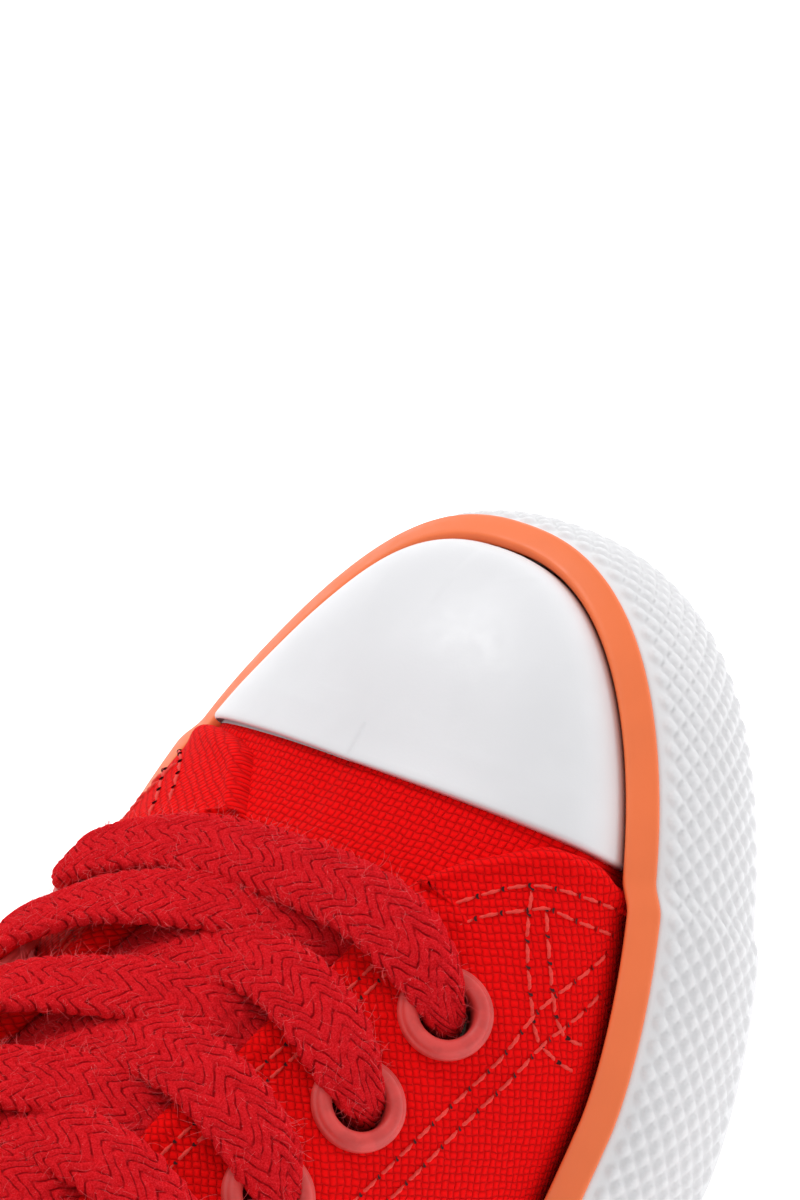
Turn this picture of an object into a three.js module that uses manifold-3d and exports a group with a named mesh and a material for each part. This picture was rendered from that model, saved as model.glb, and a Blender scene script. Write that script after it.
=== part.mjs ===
// A child's low-top canvas sneaker, left foot, built as separate pieces in millimetres.
// Toe at -Y, heel at +Y, ground at Z 0. The wearer's right side is -X.
// Every curved piece is laid out from one line, the welt line: the outer bottom
// edge of the coloured stripe that runs round the shoe.
import * as THREE from "three";
import Module from "manifold-3d";

const wasm = await Module();
wasm.setup();

// Welt line: "at" is the distance behind its front tip.
const WELT_LENGTH = 206;
const TOE_ROUND = 59.5;
const TOE_POWER = 1.5;
const TOE_SHAPE = 2.32;
const HEEL_ROUND = 40;
const HEEL_POWER = 2.2;
const HEEL_SHAPE = 2.1;
// The toe is fuller on the right, where the big toe lies.
const PLAN = [
  { at: 0, mid: 0, right: 39.1, left: 38 },
  { at: 8, mid: 0, right: 39.1, left: 37.4 },
  { at: 18, mid: 0, right: 39.1, left: 37.6 },
  { at: 30, mid: 0, right: 39.1, left: 38.4 },
  { at: 60, mid: 0, right: 39.1, left: 39.1 },
  { at: 85, mid: 0.8, right: 38.2, left: 38.2 },
  { at: 110, mid: 2, right: 35.6, left: 35.6 },
  { at: 135, mid: 2.4, right: 33.2, left: 33.2 },
  { at: 160, mid: 1.4, right: 32.6, left: 32.6 },
  { at: 185, mid: 0.4, right: 32.6, left: 32.6 },
  { at: 206, mid: 0, right: 32.6, left: 32.6 },
];

// The last: height of its ridge line, roundness of its cross-sections, and how much
// rounder they are on the left, where the little toes slope away.
const LAST = [
  { at: 0, ridge: 31, round: 0.76, lean: 0 },
  { at: 16, ridge: 33.8, round: 0.76, lean: 0.3 },
  { at: 32.6, ridge: 35.7, round: 0.78, lean: 0.32 },
  { at: 43, ridge: 40, round: 0.96, lean: 0.14 },
  { at: 55, ridge: 47.3, round: 1.12, lean: 0 },
  { at: 68, ridge: 56, round: 1.08, lean: 0 },
  { at: 81, ridge: 64, round: 1, lean: 0 },
  { at: 94, ridge: 71, round: 0.9, lean: 0 },
  { at: 107, ridge: 77, round: 0.82, lean: 0 },
  { at: 120, ridge: 82, round: 0.8, lean: 0 },
  { at: 145, ridge: 86, round: 0.8, lean: 0 },
  { at: 206, ridge: 86, round: 0.8, lean: 0 },
];
const TOE_POLE = 28;
const HEEL_POLE = 178;
const RIM_HEIGHT = 21.8;
const SPRING_RISE = 4.1;
const SPRING_START = 77;

// Upper: all offsets are outward from the vamp's face.
const VAMP_INSET = 5;
const WALL = 1.1;
const QUARTER_STEP = 1.7;
// Front edge of the quarters: its station at each angle round the last, in degrees.
const QUARTER_FRONT = [
  { at: 0, right: 33.7, left: 33.7 },
  { at: 33, right: 33.9, left: 33.7 },
  { at: 47, right: 36.8, left: 34.2 },
  { at: 58, right: 41.2, left: 35.3 },
  { at: 72, right: 48, left: 40.7 },
  { at: 90, right: 57, left: 52 },
];
const QUARTER_EDGE = 2.5;
const SKIRT_BOTTOM = 11.4;
const THROAT_FRONT = 43;
const THROAT = [
  { at: 43, right: 0, left: 0 },
  { at: 43.7, right: 7.5, left: 4 },
  { at: 45.2, right: 13, left: 7 },
  { at: 48, right: 15.8, left: 9 },
  { at: 54, right: 15.4, left: 9.8 },
  { at: 66, right: 14.5, left: 10.6 },
  { at: 80, right: 13.7, left: 11.8 },
  { at: 107, right: 13.5, left: 13.5 },
  { at: 206, right: 13, left: 13 },
];
const COLLAR = [
  { at: 0, height: 96 },
  { at: 104, height: 90 },
  { at: 111, height: 77 },
  { at: 120, height: 68 },
  { at: 132, height: 59.5 },
  { at: 147, height: 55 },
  { at: 162, height: 55.5 },
  { at: 180, height: 60 },
  { at: 194, height: 65 },
  { at: 206, height: 67 },
];

// Toe cap, foxing, stripe, outsole, insole.
const CAP_REAR = 32.6;
const CAP_GAP = 0.3;
const CAP_FACE = 1.5;
const CAP_BOTTOM = 19.7;
const JOG_START = 33;
const JOG_END = 37;
const JOG = 0.8;
const FOXING = [
  { out: -3.2, z: 0.9 },
  { out: 1.7, z: 0.9 },
  { out: 2.6, z: 4 },
  { out: 2.95, z: 8 },
  { out: 2.6, z: 12.4 },
  { out: 1.5, z: 16.4 },
  { out: 0, z: 19.3 },
  { out: -3.2, z: 19.3 },
];
const STRIPE = [
  { out: -3.2, z: 19.6 },
  { out: 0, z: 19.6 },
  { out: -0.4, z: 20.3 },
  { out: -2.7, z: 21.9 },
  { out: -3.2, z: 21.4 },
];
const OUTSOLE_OUT = -3.5;
const OUTSOLE_TOP = 11;
const OUTSOLE_UNDER = 2.4;
const ARCH_RISE = 2.2;
const ARCH_START = 104;
const ARCH_END = 146;
const LUG_INSET = 6;
const LUG_SINK = 0.6;
const LUG_POINT = 4;
const LUG_LENGTH = 6.4;
const LUG_PITCH = 9.4;
const LUG_ROWS = [
  { first: 12, count: 10 },
  { first: 143, count: 5 },
];
const INSOLE_OUT = -6.7;
const INSOLE_BOTTOM = 11.4;
const INSOLE_TOP = 14.6;

// Tongue.
const TONGUE_FACE = -2.3;
const TONGUE_BACK = -5.3;
const TONGUE_SINK = 0.9;
const TONGUE = [
  { at: 36, half: 15 },
  { at: 44, half: 20 },
  { at: 60, half: 23.5 },
  { at: 85, half: 24.5 },
  { at: 107, half: 23.6 },
  { at: 118, half: 20.6 },
  { at: 124, half: 17 },
  { at: 127, half: 12.5 },
];

// Eyelets and lace.
const EYELET_FIRST = 55;
const EYELET_PITCH = 12.9;
const EYELET_RIGHT = [27, 26.3, 25.8, 25.2, 24.6];
const EYELET_LEFT = [21.6, 22.4, 23.2, 24, 24.6];
const EYELET_HOLE = 3.1;
const EYELET_BARREL = 3.5;
const EYELET_RADIUS = 5.3;
const EYELET_RISE = 1.5;
const EYELET_LIFT = 0.5;
const EYELET_REACH = 3.2;
const PUNCH_RADIUS = 4;
const LACE_HALF_WIDTH = 4.65;
const LACE_HALF_THICK = 1.3;

const COLUMNS = 38;
const STEPS = 7;
const DEGREE = Math.PI / 180;

// ---- Small helpers ----

function clamp(value, low, high) {
  return Math.min(high, Math.max(low, value));
}

function smooth(from, to, value) {
  const s = clamp((value - from) / (to - from), 0, 1);
  return s * s * (3 - 2 * s);
}

// Reads one column of a table by a smooth curve through its rows.
function read(rows, key, at) {
  const last = rows.length - 1;
  if (at <= rows[0].at) {
    return rows[0][key];
  }
  if (at >= rows[last].at) {
    return rows[last][key];
  }
  let i = 0;
  while (rows[i + 1].at < at) {
    i += 1;
  }
  const slope = (j) => {
    const a = rows[Math.max(j - 1, 0)];
    const b = rows[Math.min(j + 1, last)];
    return (b[key] - a[key]) / (b.at - a.at);
  };
  const a = rows[i];
  const b = rows[i + 1];
  const span = b.at - a.at;
  const s = (at - a.at) / span;
  const s2 = s * s;
  const s3 = s2 * s;
  return a[key] * (2 * s3 - 3 * s2 + 1) + slope(i) * span * (s3 - 2 * s2 + s)
    + b[key] * (3 * s2 - 2 * s3) + slope(i + 1) * span * (s3 - s2);
}

// Reads one column of a table by straight lines, for edges that must not overshoot.
function straight(rows, key, at) {
  let i = 0;
  while (i < rows.length - 2 && rows[i + 1].at < at) {
    i += 1;
  }
  const s = clamp((at - rows[i].at) / (rows[i + 1].at - rows[i].at), 0, 1);
  return rows[i][key] * (1 - s) + rows[i + 1][key] * s;
}

function springAt(at) {
  const s = clamp((SPRING_START - at) / SPRING_START, 0, 1.2);
  return SPRING_RISE * s * s;
}

function archAt(at) {
  const s = clamp((at - ARCH_START) / (ARCH_END - ARCH_START), 0, 1);
  return ARCH_RISE * Math.sin(Math.PI * s) ** 2;
}

function jogAt(at) {
  return JOG * smooth(JOG_START, JOG_END, at);
}

// ---- The welt line ----

// "hand" is negative for the right side of the shoe and positive for the left.
function halfAt(at, hand) {
  const toe = clamp((TOE_ROUND - at) / TOE_ROUND, 0, 1);
  const heel = clamp((at - WELT_LENGTH + HEEL_ROUND) / HEEL_ROUND, 0, 1);
  return read(PLAN, hand < 0 ? "right" : "left", at) * (1 - toe ** TOE_POWER) ** (1 / TOE_SHAPE)
    * (1 - heel ** HEEL_POWER) ** (1 / HEEL_SHAPE);
}

// u runs from -1 at the heel by the -X side to 0 at the toe tip and on to 1.
function stationOf(u) {
  return WELT_LENGTH / 2 * (1 - Math.cos(Math.PI * u));
}


function weltPoint(u) {
  const at = stationOf(u);
  return [read(PLAN, "mid", at) + Math.sign(u) * halfAt(at, u), at];
}

// A point beside the welt line, "out" millimetres outward along its normal.
function beside(u, out) {
  const step = 0.002;
  const wrap = (v) => (v > 1 ? v - 2 : v < -1 ? v + 2 : v);
  const a = weltPoint(wrap(u - step));
  const b = weltPoint(wrap(u + step));
  const c = weltPoint(u);
  const run = Math.hypot(b[0] - a[0], b[1] - a[1]);
  return [c[0] + out * (b[1] - a[1]) / run, c[1] - out * (b[0] - a[0]) / run];
}

// Where the cross-section of a place on the loop stands, the same for both sides.
function crossAt(u) {
  return (beside(u, -VAMP_INSET)[1] + beside(-u, -VAMP_INSET)[1]) / 2;
}

// The place on the loop whose cross-section stands at a station.
function turnOf(at) {
  let low = 0;
  let high = 1;
  for (let i = 0; i < 40; i += 1) {
    const middle = (low + high) / 2;
    if (crossAt(middle) < at) {
      low = middle;
    } else {
      high = middle;
    }
  }
  return low;
}

// ---- The last ----

function roundAt(at, hand) {
  return read(LAST, "round", clamp(at, TOE_POLE, HEEL_POLE)) + (hand > 0 ? read(LAST, "lean", at) : 0);
}

// Angle phi is 0 at the rim of the sole and a right angle on the ridge.
function lastPoint(u, phi, out) {
  const edge = beside(u, out - VAMP_INSET);
  const poleAt = clamp(crossAt(u), TOE_POLE, HEEL_POLE);
  const pole = [read(PLAN, "mid", poleAt), poleAt];
  const round = roundAt(crossAt(u), u);
  const keep = Math.max(Math.cos(phi), 0) ** round;
  const x = pole[0] + (edge[0] - pole[0]) * keep;
  const at = pole[1] + (edge[1] - pole[1]) * keep;
  const rim = RIM_HEIGHT + springAt(crossAt(u));
  const top = read(LAST, "ridge", at) + out;
  return [x, at, rim + (top - rim) * Math.sin(phi) ** round];
}

// A point of the last given by station and sideways distance from the mid line.
function sidePoint(at, side, out) {
  const round = roundAt(at, side);
  const half = halfAt(at, side) - VAMP_INSET + out;
  const share = clamp(Math.abs(side) / half, 0, 1);
  const phi = Math.acos(share ** (1 / round));
  const rim = RIM_HEIGHT + springAt(at);
  const z = rim + (read(LAST, "ridge", at) + out - rim) * Math.sin(phi) ** round;
  return [read(PLAN, "mid", at) + side, at, z];
}

function sideNormal(at, side, out) {
  const step = 0.25;
  const a = new THREE.Vector3(...sidePoint(at - step, side, out));
  const b = new THREE.Vector3(...sidePoint(at + step, side, out));
  const c = new THREE.Vector3(...sidePoint(at, side - step, out));
  const d = new THREE.Vector3(...sidePoint(at, side + step, out));
  return d.sub(c).cross(b.sub(a)).normalize();
}

// Top edge of the upper: on the ridge over the vamp, then along throat and collar.
function topAngle(u) {
  const at = crossAt(u);
  if (at <= THROAT_FRONT + 0.001) {
    return Math.PI / 2;
  }
  const round = roundAt(at, u);
  const half = halfAt(at, u) - VAMP_INSET;
  const gap = clamp(straight(THROAT, u < 0 ? "right" : "left", at) / Math.max(half, 1), 0, 1);
  const byGap = at > HEEL_POLE ? Math.PI / 2 : Math.acos(gap ** (1 / round));
  const rim = RIM_HEIGHT + springAt(at);
  const rise = (straight(COLLAR, "height", at) - rim) / (read(LAST, "ridge", at) - rim);
  const byCollar = Math.asin(clamp(rise, 0, 1) ** (1 / round));
  return Math.min(byGap, byCollar);
}

// The quarters lie over the vamp, so the upper's face steps out behind their front edge.
function faceOut(u, phi) {
  const at = crossAt(u);
  const front = read(QUARTER_FRONT, u < 0 ? "right" : "left", phi / DEGREE);
  return QUARTER_STEP * smooth(front, front + QUARTER_EDGE, at);
}

// ---- Solids from triangles ----

class Skin {
  constructor() {
    this.points = [];
    this.index = new Map();
    this.faces = [];
  }

  point(p) {
    const key = p.map((v) => Math.round(v * 2000)).join(",");
    if (!this.index.has(key)) {
      this.index.set(key, this.points.length / 3);
      this.points.push(...p);
    }
    return this.index.get(key);
  }

  triangle(a, b, c) {
    const ids = [this.point(a), this.point(b), this.point(c)];
    if (ids[0] !== ids[1] && ids[1] !== ids[2] && ids[2] !== ids[0]) {
      this.faces.push(...ids);
    }
  }

  quad(a, b, c, d) {
    this.triangle(a, b, c);
    this.triangle(a, c, d);
  }

  solid() {
    return new wasm.Manifold(new wasm.Mesh({
      numProp: 3,
      vertProperties: new Float32Array(this.points),
      triVerts: new Uint32Array(this.faces),
    }));
  }
}

function loopTurns(extra) {
  const turns = new Set();
  for (let i = 0; i <= COLUMNS; i += 1) {
    turns.add(i / COLUMNS);
  }
  for (const at of extra) {
    turns.add(turnOf(at));
  }
  const half = [...turns].sort((a, b) => a - b);
  const minus = half.slice(1, -1).map((u) => -u).reverse();
  return [...minus, ...half];
}

// A closed ring round the shoe with one cross-section.
function ring(section, moveUp) {
  const skin = new Skin();
  const rows = loopTurns([]).map((u) => section.map((p) => {
    const [x, y] = beside(u, p.out + jogAt(stationOf(u)));
    return [x, y, p.z + springAt(y) + moveUp(y, p)];
  }));
  rows.forEach((row, i) => {
    const next = rows[(i + 1) % rows.length];
    row.forEach((p, j) => {
      const k = (j + 1) % row.length;
      skin.quad(p, next[j], next[k], row[k]);
    });
  });
  return skin.solid();
}

// A slab inside the welt line, lying between two heights.
function slab(outAt, bottomAt, topAt) {
  const skin = new Skin();
  const halves = loopTurns([]).filter((u) => u >= 0);
  const level = (u, z) => {
    const [x, y] = beside(u, outAt(stationOf(u)));
    return [x, y, z(y)];
  };
  for (let i = 0; i < halves.length - 1; i += 1) {
    const near = halves[i];
    const far = halves[i + 1];
    const mirror = (u) => (u === 0 || u === 1 ? u : -u);
    const corners = (z) => [level(mirror(near), z), level(mirror(far), z), level(far, z), level(near, z)];
    const [a, b, c, d] = corners(topAt);
    const [e, f, g, h] = corners(bottomAt);
    skin.quad(d, c, b, a);
    skin.quad(e, f, g, h);
    skin.quad(a, b, f, e);
    skin.quad(c, d, h, g);
  }
  return skin.solid();
}

function prism(loop, bottomZ, topZ) {
  const skin = new Skin();
  const low = loop.map(([x, y]) => [x, y, bottomZ(y)]);
  const high = loop.map(([x, y]) => [x, y, topZ(y)]);
  const count = loop.length;
  for (let i = 0; i < count; i += 1) {
    const k = (i + 1) % count;
    skin.quad(low[i], low[k], high[k], high[i]);
  }
  for (let i = 0; i < count / 2 - 1; i += 1) {
    skin.quad(high[i], high[i + 1], high[count - 2 - i], high[count - 1 - i]);
    skin.quad(low[count - 1 - i], low[count - 2 - i], low[i + 1], low[i]);
  }
  return skin.solid();
}

// ---- The pieces ----

function buildOutsole() {
  const under = (at) => OUTSOLE_UNDER + springAt(at) + archAt(at);
  const edgeOut = (at) => OUTSOLE_OUT + jogAt(at);
  let body = slab(edgeOut, under, (at) => OUTSOLE_TOP + springAt(at));
  for (const row of LUG_ROWS) {
    for (let i = 0; i < row.count; i += 1) {
      const front = row.first + i * LUG_PITCH;
      const back = front + LUG_LENGTH;
      const edge = (side, at) => {
        const half = halfAt(at, side) - LUG_INSET;
        return [read(PLAN, "mid", at) + side * half, at];
      };
      const middle = (at) => [read(PLAN, "mid", at), at - LUG_POINT];
      const frontLine = [edge(-1, front), middle(front), edge(1, front)];
      const loop = [...frontLine, edge(1, back), middle(back), edge(-1, back)];
      body = body.add(prism(loop, springAt, (at) => under(at) + LUG_SINK));
    }
  }
  return body;
}

function buildInsole() {
  const bottomAt = (at) => INSOLE_BOTTOM + springAt(at);
  return slab(() => INSOLE_OUT, bottomAt, (at) => INSOLE_TOP + springAt(at));
}

function eyeletSpots() {
  const spots = [];
  const spotAt = (name, i, side) => {
    const at = EYELET_FIRST + i * EYELET_PITCH;
    const centre = new THREE.Vector3(...sidePoint(at, side, QUARTER_STEP));
    spots.push({ name: `${name}_${i + 1}`, centre, normal: sideNormal(at, side, QUARTER_STEP) });
  };
  EYELET_RIGHT.forEach((side, i) => spotAt("eyelet_right", i, -side));
  EYELET_LEFT.forEach((side, i) => spotAt("eyelet_left", i, side));
  return spots;
}

function buildUpper() {
  const skin = new Skin();
  const step = [QUARTER_FRONT[0].right, QUARTER_FRONT[0].right + QUARTER_EDGE];
  const corner = COLLAR.slice(1, 4).map((row) => row.at);
  const turns = loopTurns([...step, ...corner, ...THROAT.slice(0, 4).map((row) => row.at)]);
  const columns = turns.map((u) => {
    const top = topAngle(u);
    const outer = [];
    const inner = [];
    for (let j = 0; j <= STEPS; j += 1) {
      const phi = top * j / STEPS;
      outer.push(lastPoint(u, phi, faceOut(u, phi)));
      inner.push(lastPoint(u, phi, -WALL));
    }
    const low = SKIRT_BOTTOM + springAt(crossAt(u));
    outer.unshift([outer[0][0], outer[0][1], low]);
    inner.unshift([inner[0][0], inner[0][1], low]);
    return { outer, inner, open: top < Math.PI / 2 - 0.0001 };
  });
  columns.forEach((a, i) => {
    const b = columns[(i + 1) % columns.length];
    for (let j = 0; j <= STEPS; j += 1) {
      skin.quad(a.outer[j], b.outer[j], b.outer[j + 1], a.outer[j + 1]);
      skin.quad(b.inner[j], a.inner[j], a.inner[j + 1], b.inner[j + 1]);
    }
    skin.quad(b.outer[0], a.outer[0], a.inner[0], b.inner[0]);
    if (a.open || b.open) {
      const t = STEPS + 1;
      skin.quad(a.outer[t], b.outer[t], b.inner[t], a.inner[t]);
    }
  });
  let body = skin.solid();
  for (const spot of eyeletSpots()) {
    const punch = lathe(spot, [[0, -7], [PUNCH_RADIUS, -7], [PUNCH_RADIUS, 5], [0, 5]], 10);
    body = body.subtract(punch);
  }
  return body;
}

// Turns a closed profile of [radius, height] pairs about a spot's normal.
function lathe(spot, profile, segments) {
  const turn = new THREE.Quaternion().setFromUnitVectors(new THREE.Vector3(0, 0, 1), spot.normal);
  const place = (r, h, k) => {
    const angle = 2 * Math.PI * (k % segments) / segments;
    const p = new THREE.Vector3(r * Math.cos(angle), r * Math.sin(angle), h);
    return p.applyQuaternion(turn).add(spot.centre).toArray();
  };
  const skin = new Skin();
  for (let k = 0; k < segments; k += 1) {
    profile.forEach(([r, h], j) => {
      const [r2, h2] = profile[(j + 1) % profile.length];
      skin.quad(place(r, h, k), place(r, h, k + 1), place(r2, h2, k + 1), place(r2, h2, k));
    });
  }
  return skin.solid();
}

function buildEyelet(spot) {
  const face = EYELET_LIFT + EYELET_RISE;
  return lathe(spot, [
    [EYELET_HOLE, -EYELET_REACH],
    [EYELET_BARREL, -EYELET_REACH],
    [EYELET_BARREL, EYELET_LIFT],
    [EYELET_RADIUS, EYELET_LIFT],
    [EYELET_RADIUS, face - 0.5],
    [EYELET_RADIUS - 0.6, face],
    [EYELET_HOLE, face - 0.2],
  ], 14);
}

// The toe cap is the space between two larger forms of the last, cut off square behind.
function buildCap() {
  const skin = new Skin();
  const end = turnOf(CAP_REAR);
  const turns = loopTurns([]).filter((u) => Math.abs(u) < end - 0.004);
  const columns = [-end, ...turns, end].map((u) => {
    const side = (out) => {
      const points = [];
      for (let j = 0; j <= STEPS; j += 1) {
        points.push(lastPoint(u, Math.PI / 2 * j / STEPS, out));
      }
      points.unshift([points[0][0], points[0][1], CAP_BOTTOM + springAt(crossAt(u))]);
      return points;
    };
    return { outer: side(CAP_FACE), inner: side(CAP_GAP) };
  });
  for (let i = 0; i < columns.length - 1; i += 1) {
    const a = columns[i];
    const b = columns[i + 1];
    for (let j = 0; j <= STEPS; j += 1) {
      skin.quad(a.outer[j], b.outer[j], b.outer[j + 1], a.outer[j + 1]);
      skin.quad(b.inner[j], a.inner[j], a.inner[j + 1], b.inner[j + 1]);
    }
    skin.quad(b.outer[0], a.outer[0], a.inner[0], b.inner[0]);
  }
  const first = columns[0];
  const last = columns[columns.length - 1];
  for (let j = 0; j <= STEPS; j += 1) {
    skin.quad(first.outer[j], first.outer[j + 1], first.inner[j + 1], first.inner[j]);
    skin.quad(last.outer[j + 1], last.outer[j], last.inner[j], last.inner[j + 1]);
  }
  return skin.solid();
}

function buildTongue() {
  const skin = new Skin();
  const stations = [36, 41, 46, 52, 59, 67, 76, 85, 94, 103, 111, 118, 124, 127];
  const across = [-1, -0.75, -0.5, -0.25, 0, 0.25, 0.5, 0.75, 1];
  const layer = (out) => stations.map((at) => across.map((share) => {
    const sunk = out - TONGUE_SINK * smooth(97, 111, at);
    return sidePoint(at, share * read(TONGUE, "half", at), sunk);
  }));
  const top = layer(TONGUE_FACE);
  const low = layer(TONGUE_BACK);
  const lastRow = stations.length - 1;
  const lastCol = across.length - 1;
  for (let i = 0; i < lastRow; i += 1) {
    for (let j = 0; j < lastCol; j += 1) {
      skin.quad(top[i][j], top[i][j + 1], top[i + 1][j + 1], top[i + 1][j]);
      skin.quad(low[i][j], low[i + 1][j], low[i + 1][j + 1], low[i][j + 1]);
    }
    skin.quad(top[i][0], top[i + 1][0], low[i + 1][0], low[i][0]);
    skin.quad(top[i][lastCol], low[i][lastCol], low[i + 1][lastCol], top[i + 1][lastCol]);
  }
  for (let j = 0; j < lastCol; j += 1) {
    skin.quad(top[0][j], low[0][j], low[0][j + 1], top[0][j + 1]);
    skin.quad(top[lastRow][j], top[lastRow][j + 1], low[lastRow][j + 1], low[lastRow][j]);
  }
  return skin.solid();
}

// One flat run of lace along points given as station, sideways distance and height over the last.
function band(rows) {
  const count = 9;
  const section = [
    [-1, 0], [-0.78, 1], [0.78, 1], [1, 0], [0.78, -1], [-0.78, -1],
  ].map(([w, h]) => [w * LACE_HALF_WIDTH, h * LACE_HALF_THICK]);
  const centres = [];
  const normals = [];
  for (let i = 0; i <= count; i += 1) {
    const at = i / count;
    const station = read(rows, "station", at);
    const side = read(rows, "side", at);
    const lift = read(rows, "lift", at);
    centres.push(new THREE.Vector3(...sidePoint(station, side, 0)));
    normals.push(sideNormal(station, side, 0));
    centres[i].addScaledVector(normals[i], lift);
  }
  const skin = new Skin();
  const loops = centres.map((centre, i) => {
    const along = centres[Math.min(i + 1, count)].clone().sub(centres[Math.max(i - 1, 0)]).normalize();
    const wide = along.clone().cross(normals[i]).normalize();
    const up = wide.clone().cross(along).normalize();
    return section.map(([w, h]) => {
      return centre.clone().addScaledVector(wide, w).addScaledVector(up, h).toArray();
    });
  });
  for (let i = 0; i < count; i += 1) {
    for (let j = 0; j < 6; j += 1) {
      const k = (j + 1) % 6;
      skin.quad(loops[i][j], loops[i][k], loops[i + 1][k], loops[i + 1][j]);
    }
  }
  for (let j = 1; j < 5; j += 1) {
    skin.triangle(loops[0][0], loops[0][j + 1], loops[0][j]);
    skin.triangle(loops[count][0], loops[count][j], loops[count][j + 1]);
  }
  return skin.solid();
}

// Stations are counted from the eyelet a run starts beside.
const BAR = [
  { at: 0, station: 0, side: -27, lift: 6.2 },
  { at: 0.1, station: -4.5, side: -23, lift: 5.4 },
  { at: 0.25, station: -7, side: -17, lift: 4.6 },
  { at: 0.5, station: -7.6, side: -4.5, lift: 2.4 },
  { at: 0.75, station: -7, side: 7, lift: 4.4 },
  { at: 0.9, station: -4.5, side: 16, lift: 5.4 },
  { at: 1, station: 0, side: 21.6, lift: 6 },
];
const LACE_TO_LEFT = [
  { at: 0, station: -4.6, side: -9.4, lift: 1 },
  { at: 0.16, station: -4.2, side: -4, lift: 2.4 },
  { at: 0.36, station: -2.4, side: 3.7, lift: 4.4 },
  { at: 0.56, station: 0.4, side: 11, lift: 5.2 },
  { at: 0.76, station: 5.4, side: 17, lift: 5.4 },
  { at: 1, station: EYELET_PITCH, side: 0, lift: 6 },
];
const LACE_TO_RIGHT = [
  { at: 0, station: 3.6, side: 3.6, lift: 0.8 },
  { at: 0.25, station: 1.4, side: -4, lift: 1.2 },
  { at: 0.45, station: 0.6, side: -9.6, lift: 2.8 },
  { at: 0.65, station: 2, side: -16, lift: 5 },
  { at: 0.83, station: 6, side: -21.6, lift: 5.4 },
  { at: 1, station: EYELET_PITCH, side: 0, lift: 6.2 },
];

// A run placed at its first eyelet, ending over the eyelet at the given side.
function runAt(rows, i, endSide) {
  return rows.map((row, k) => ({
    ...row,
    station: EYELET_FIRST + i * EYELET_PITCH + row.station,
    side: k === rows.length - 1 ? endSide : row.side,
  }));
}

function buildLaces() {
  let body = band(runAt(BAR, 0, EYELET_LEFT[0]));
  for (let i = 0; i < EYELET_RIGHT.length - 1; i += 1) {
    body = body.add(band(runAt(LACE_TO_RIGHT, i, -EYELET_RIGHT[i + 1])));
    body = body.add(band(runAt(LACE_TO_LEFT, i, EYELET_LEFT[i + 1])));
  }
  return body;
}

// ---- Assembly ----

const shoe = new THREE.Group();
shoe.name = "canvas_sneaker";

function addPiece(name, solid, color, roughness) {
  const data = solid.getMesh();
  const geometry = new THREE.BufferGeometry();
  const points = new Float32Array(data.vertProperties);
  for (let i = 1; i < points.length; i += 3) {
    points[i] -= (WELT_LENGTH + JOG) / 2;
  }
  geometry.setAttribute("position", new THREE.BufferAttribute(points, 3));
  geometry.setIndex(new THREE.BufferAttribute(new Uint32Array(data.triVerts), 1));
  geometry.computeVertexNormals();
  const material = new THREE.MeshStandardMaterial({ color, roughness });
  material.name = name;
  const mesh = new THREE.Mesh(geometry, material);
  mesh.name = name;
  shoe.add(mesh);
}

addPiece("outsole", buildOutsole(), 0xdedee0, 0.7);
addPiece("foxing", ring(FOXING, (at, p) => (p.z < 1 ? archAt(at) * 0.5 : 0)), 0xe0e0e2, 0.6);
addPiece("stripe", ring(STRIPE, () => 0), 0xf28359, 0.6);
addPiece("toe_cap", buildCap(), 0xebebed, 0.45);
addPiece("upper", buildUpper(), 0xd01512, 0.9);
addPiece("insole", buildInsole(), 0xc8c4bc, 0.9);
addPiece("tongue", buildTongue(), 0xcc1512, 0.9);
addPiece("laces", buildLaces(), 0xbe1a20, 0.95);
for (const spot of eyeletSpots()) {
  addPiece(spot.name, buildEyelet(spot), 0xd04e4c, 0.5);
}

export default shoe;
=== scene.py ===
# %% [markdown]
# # A child's canvas sneaker
# This lesson dresses a packed shoe model, the frame, in rubber, canvas, thread and woolly lace.
# The frame holds plain solids. Each one is replaced here by a finer mesh worked out from the same
# last, so that the finer pieces fit where the solids were.

# %% Load the frame
import math

import bmesh
import bpy
import numpy as np
from mathutils import Matrix, Vector


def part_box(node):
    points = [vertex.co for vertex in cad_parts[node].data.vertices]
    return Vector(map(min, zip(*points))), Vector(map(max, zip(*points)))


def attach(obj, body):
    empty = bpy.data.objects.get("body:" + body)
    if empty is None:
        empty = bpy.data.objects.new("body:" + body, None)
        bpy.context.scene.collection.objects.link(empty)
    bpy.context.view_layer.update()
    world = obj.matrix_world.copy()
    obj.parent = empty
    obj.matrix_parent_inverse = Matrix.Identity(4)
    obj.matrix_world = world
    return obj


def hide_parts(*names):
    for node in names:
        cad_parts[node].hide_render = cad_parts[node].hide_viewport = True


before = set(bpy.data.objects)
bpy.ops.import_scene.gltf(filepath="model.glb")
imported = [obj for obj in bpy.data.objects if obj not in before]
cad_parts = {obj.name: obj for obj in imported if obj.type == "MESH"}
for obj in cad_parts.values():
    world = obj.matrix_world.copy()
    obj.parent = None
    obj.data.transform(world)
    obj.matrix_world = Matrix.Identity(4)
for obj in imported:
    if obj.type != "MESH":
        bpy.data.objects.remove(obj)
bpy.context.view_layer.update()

MM = 0.001
STRIPE_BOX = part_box("stripe")
FRONT = STRIPE_BOX[0][1] / MM
WELT_LENGTH = round((STRIPE_BOX[1][1] - STRIPE_BOX[0][1]) / MM - 0.8)
print("welt line starts at", round(FRONT, 2), "mm and is", WELT_LENGTH, "mm long")

# %% [markdown]
# ## The camera
# A long lens far away keeps the shoe's proportions true. The camera looks down on the side of
# the toe and is rolled, so that the toe points up and to the right. It is made first, because
# every later choice is judged through it.

# %% Camera
AZIMUTH = math.radians(-99.27)
ELEVATION = math.radians(52.0)
ROLL = math.radians(-59.33)
DISTANCE = 954.7
LENS = 254.5
TARGET = Vector((14.9, FRONT + 11.94, 20.0)) * MM

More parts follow.
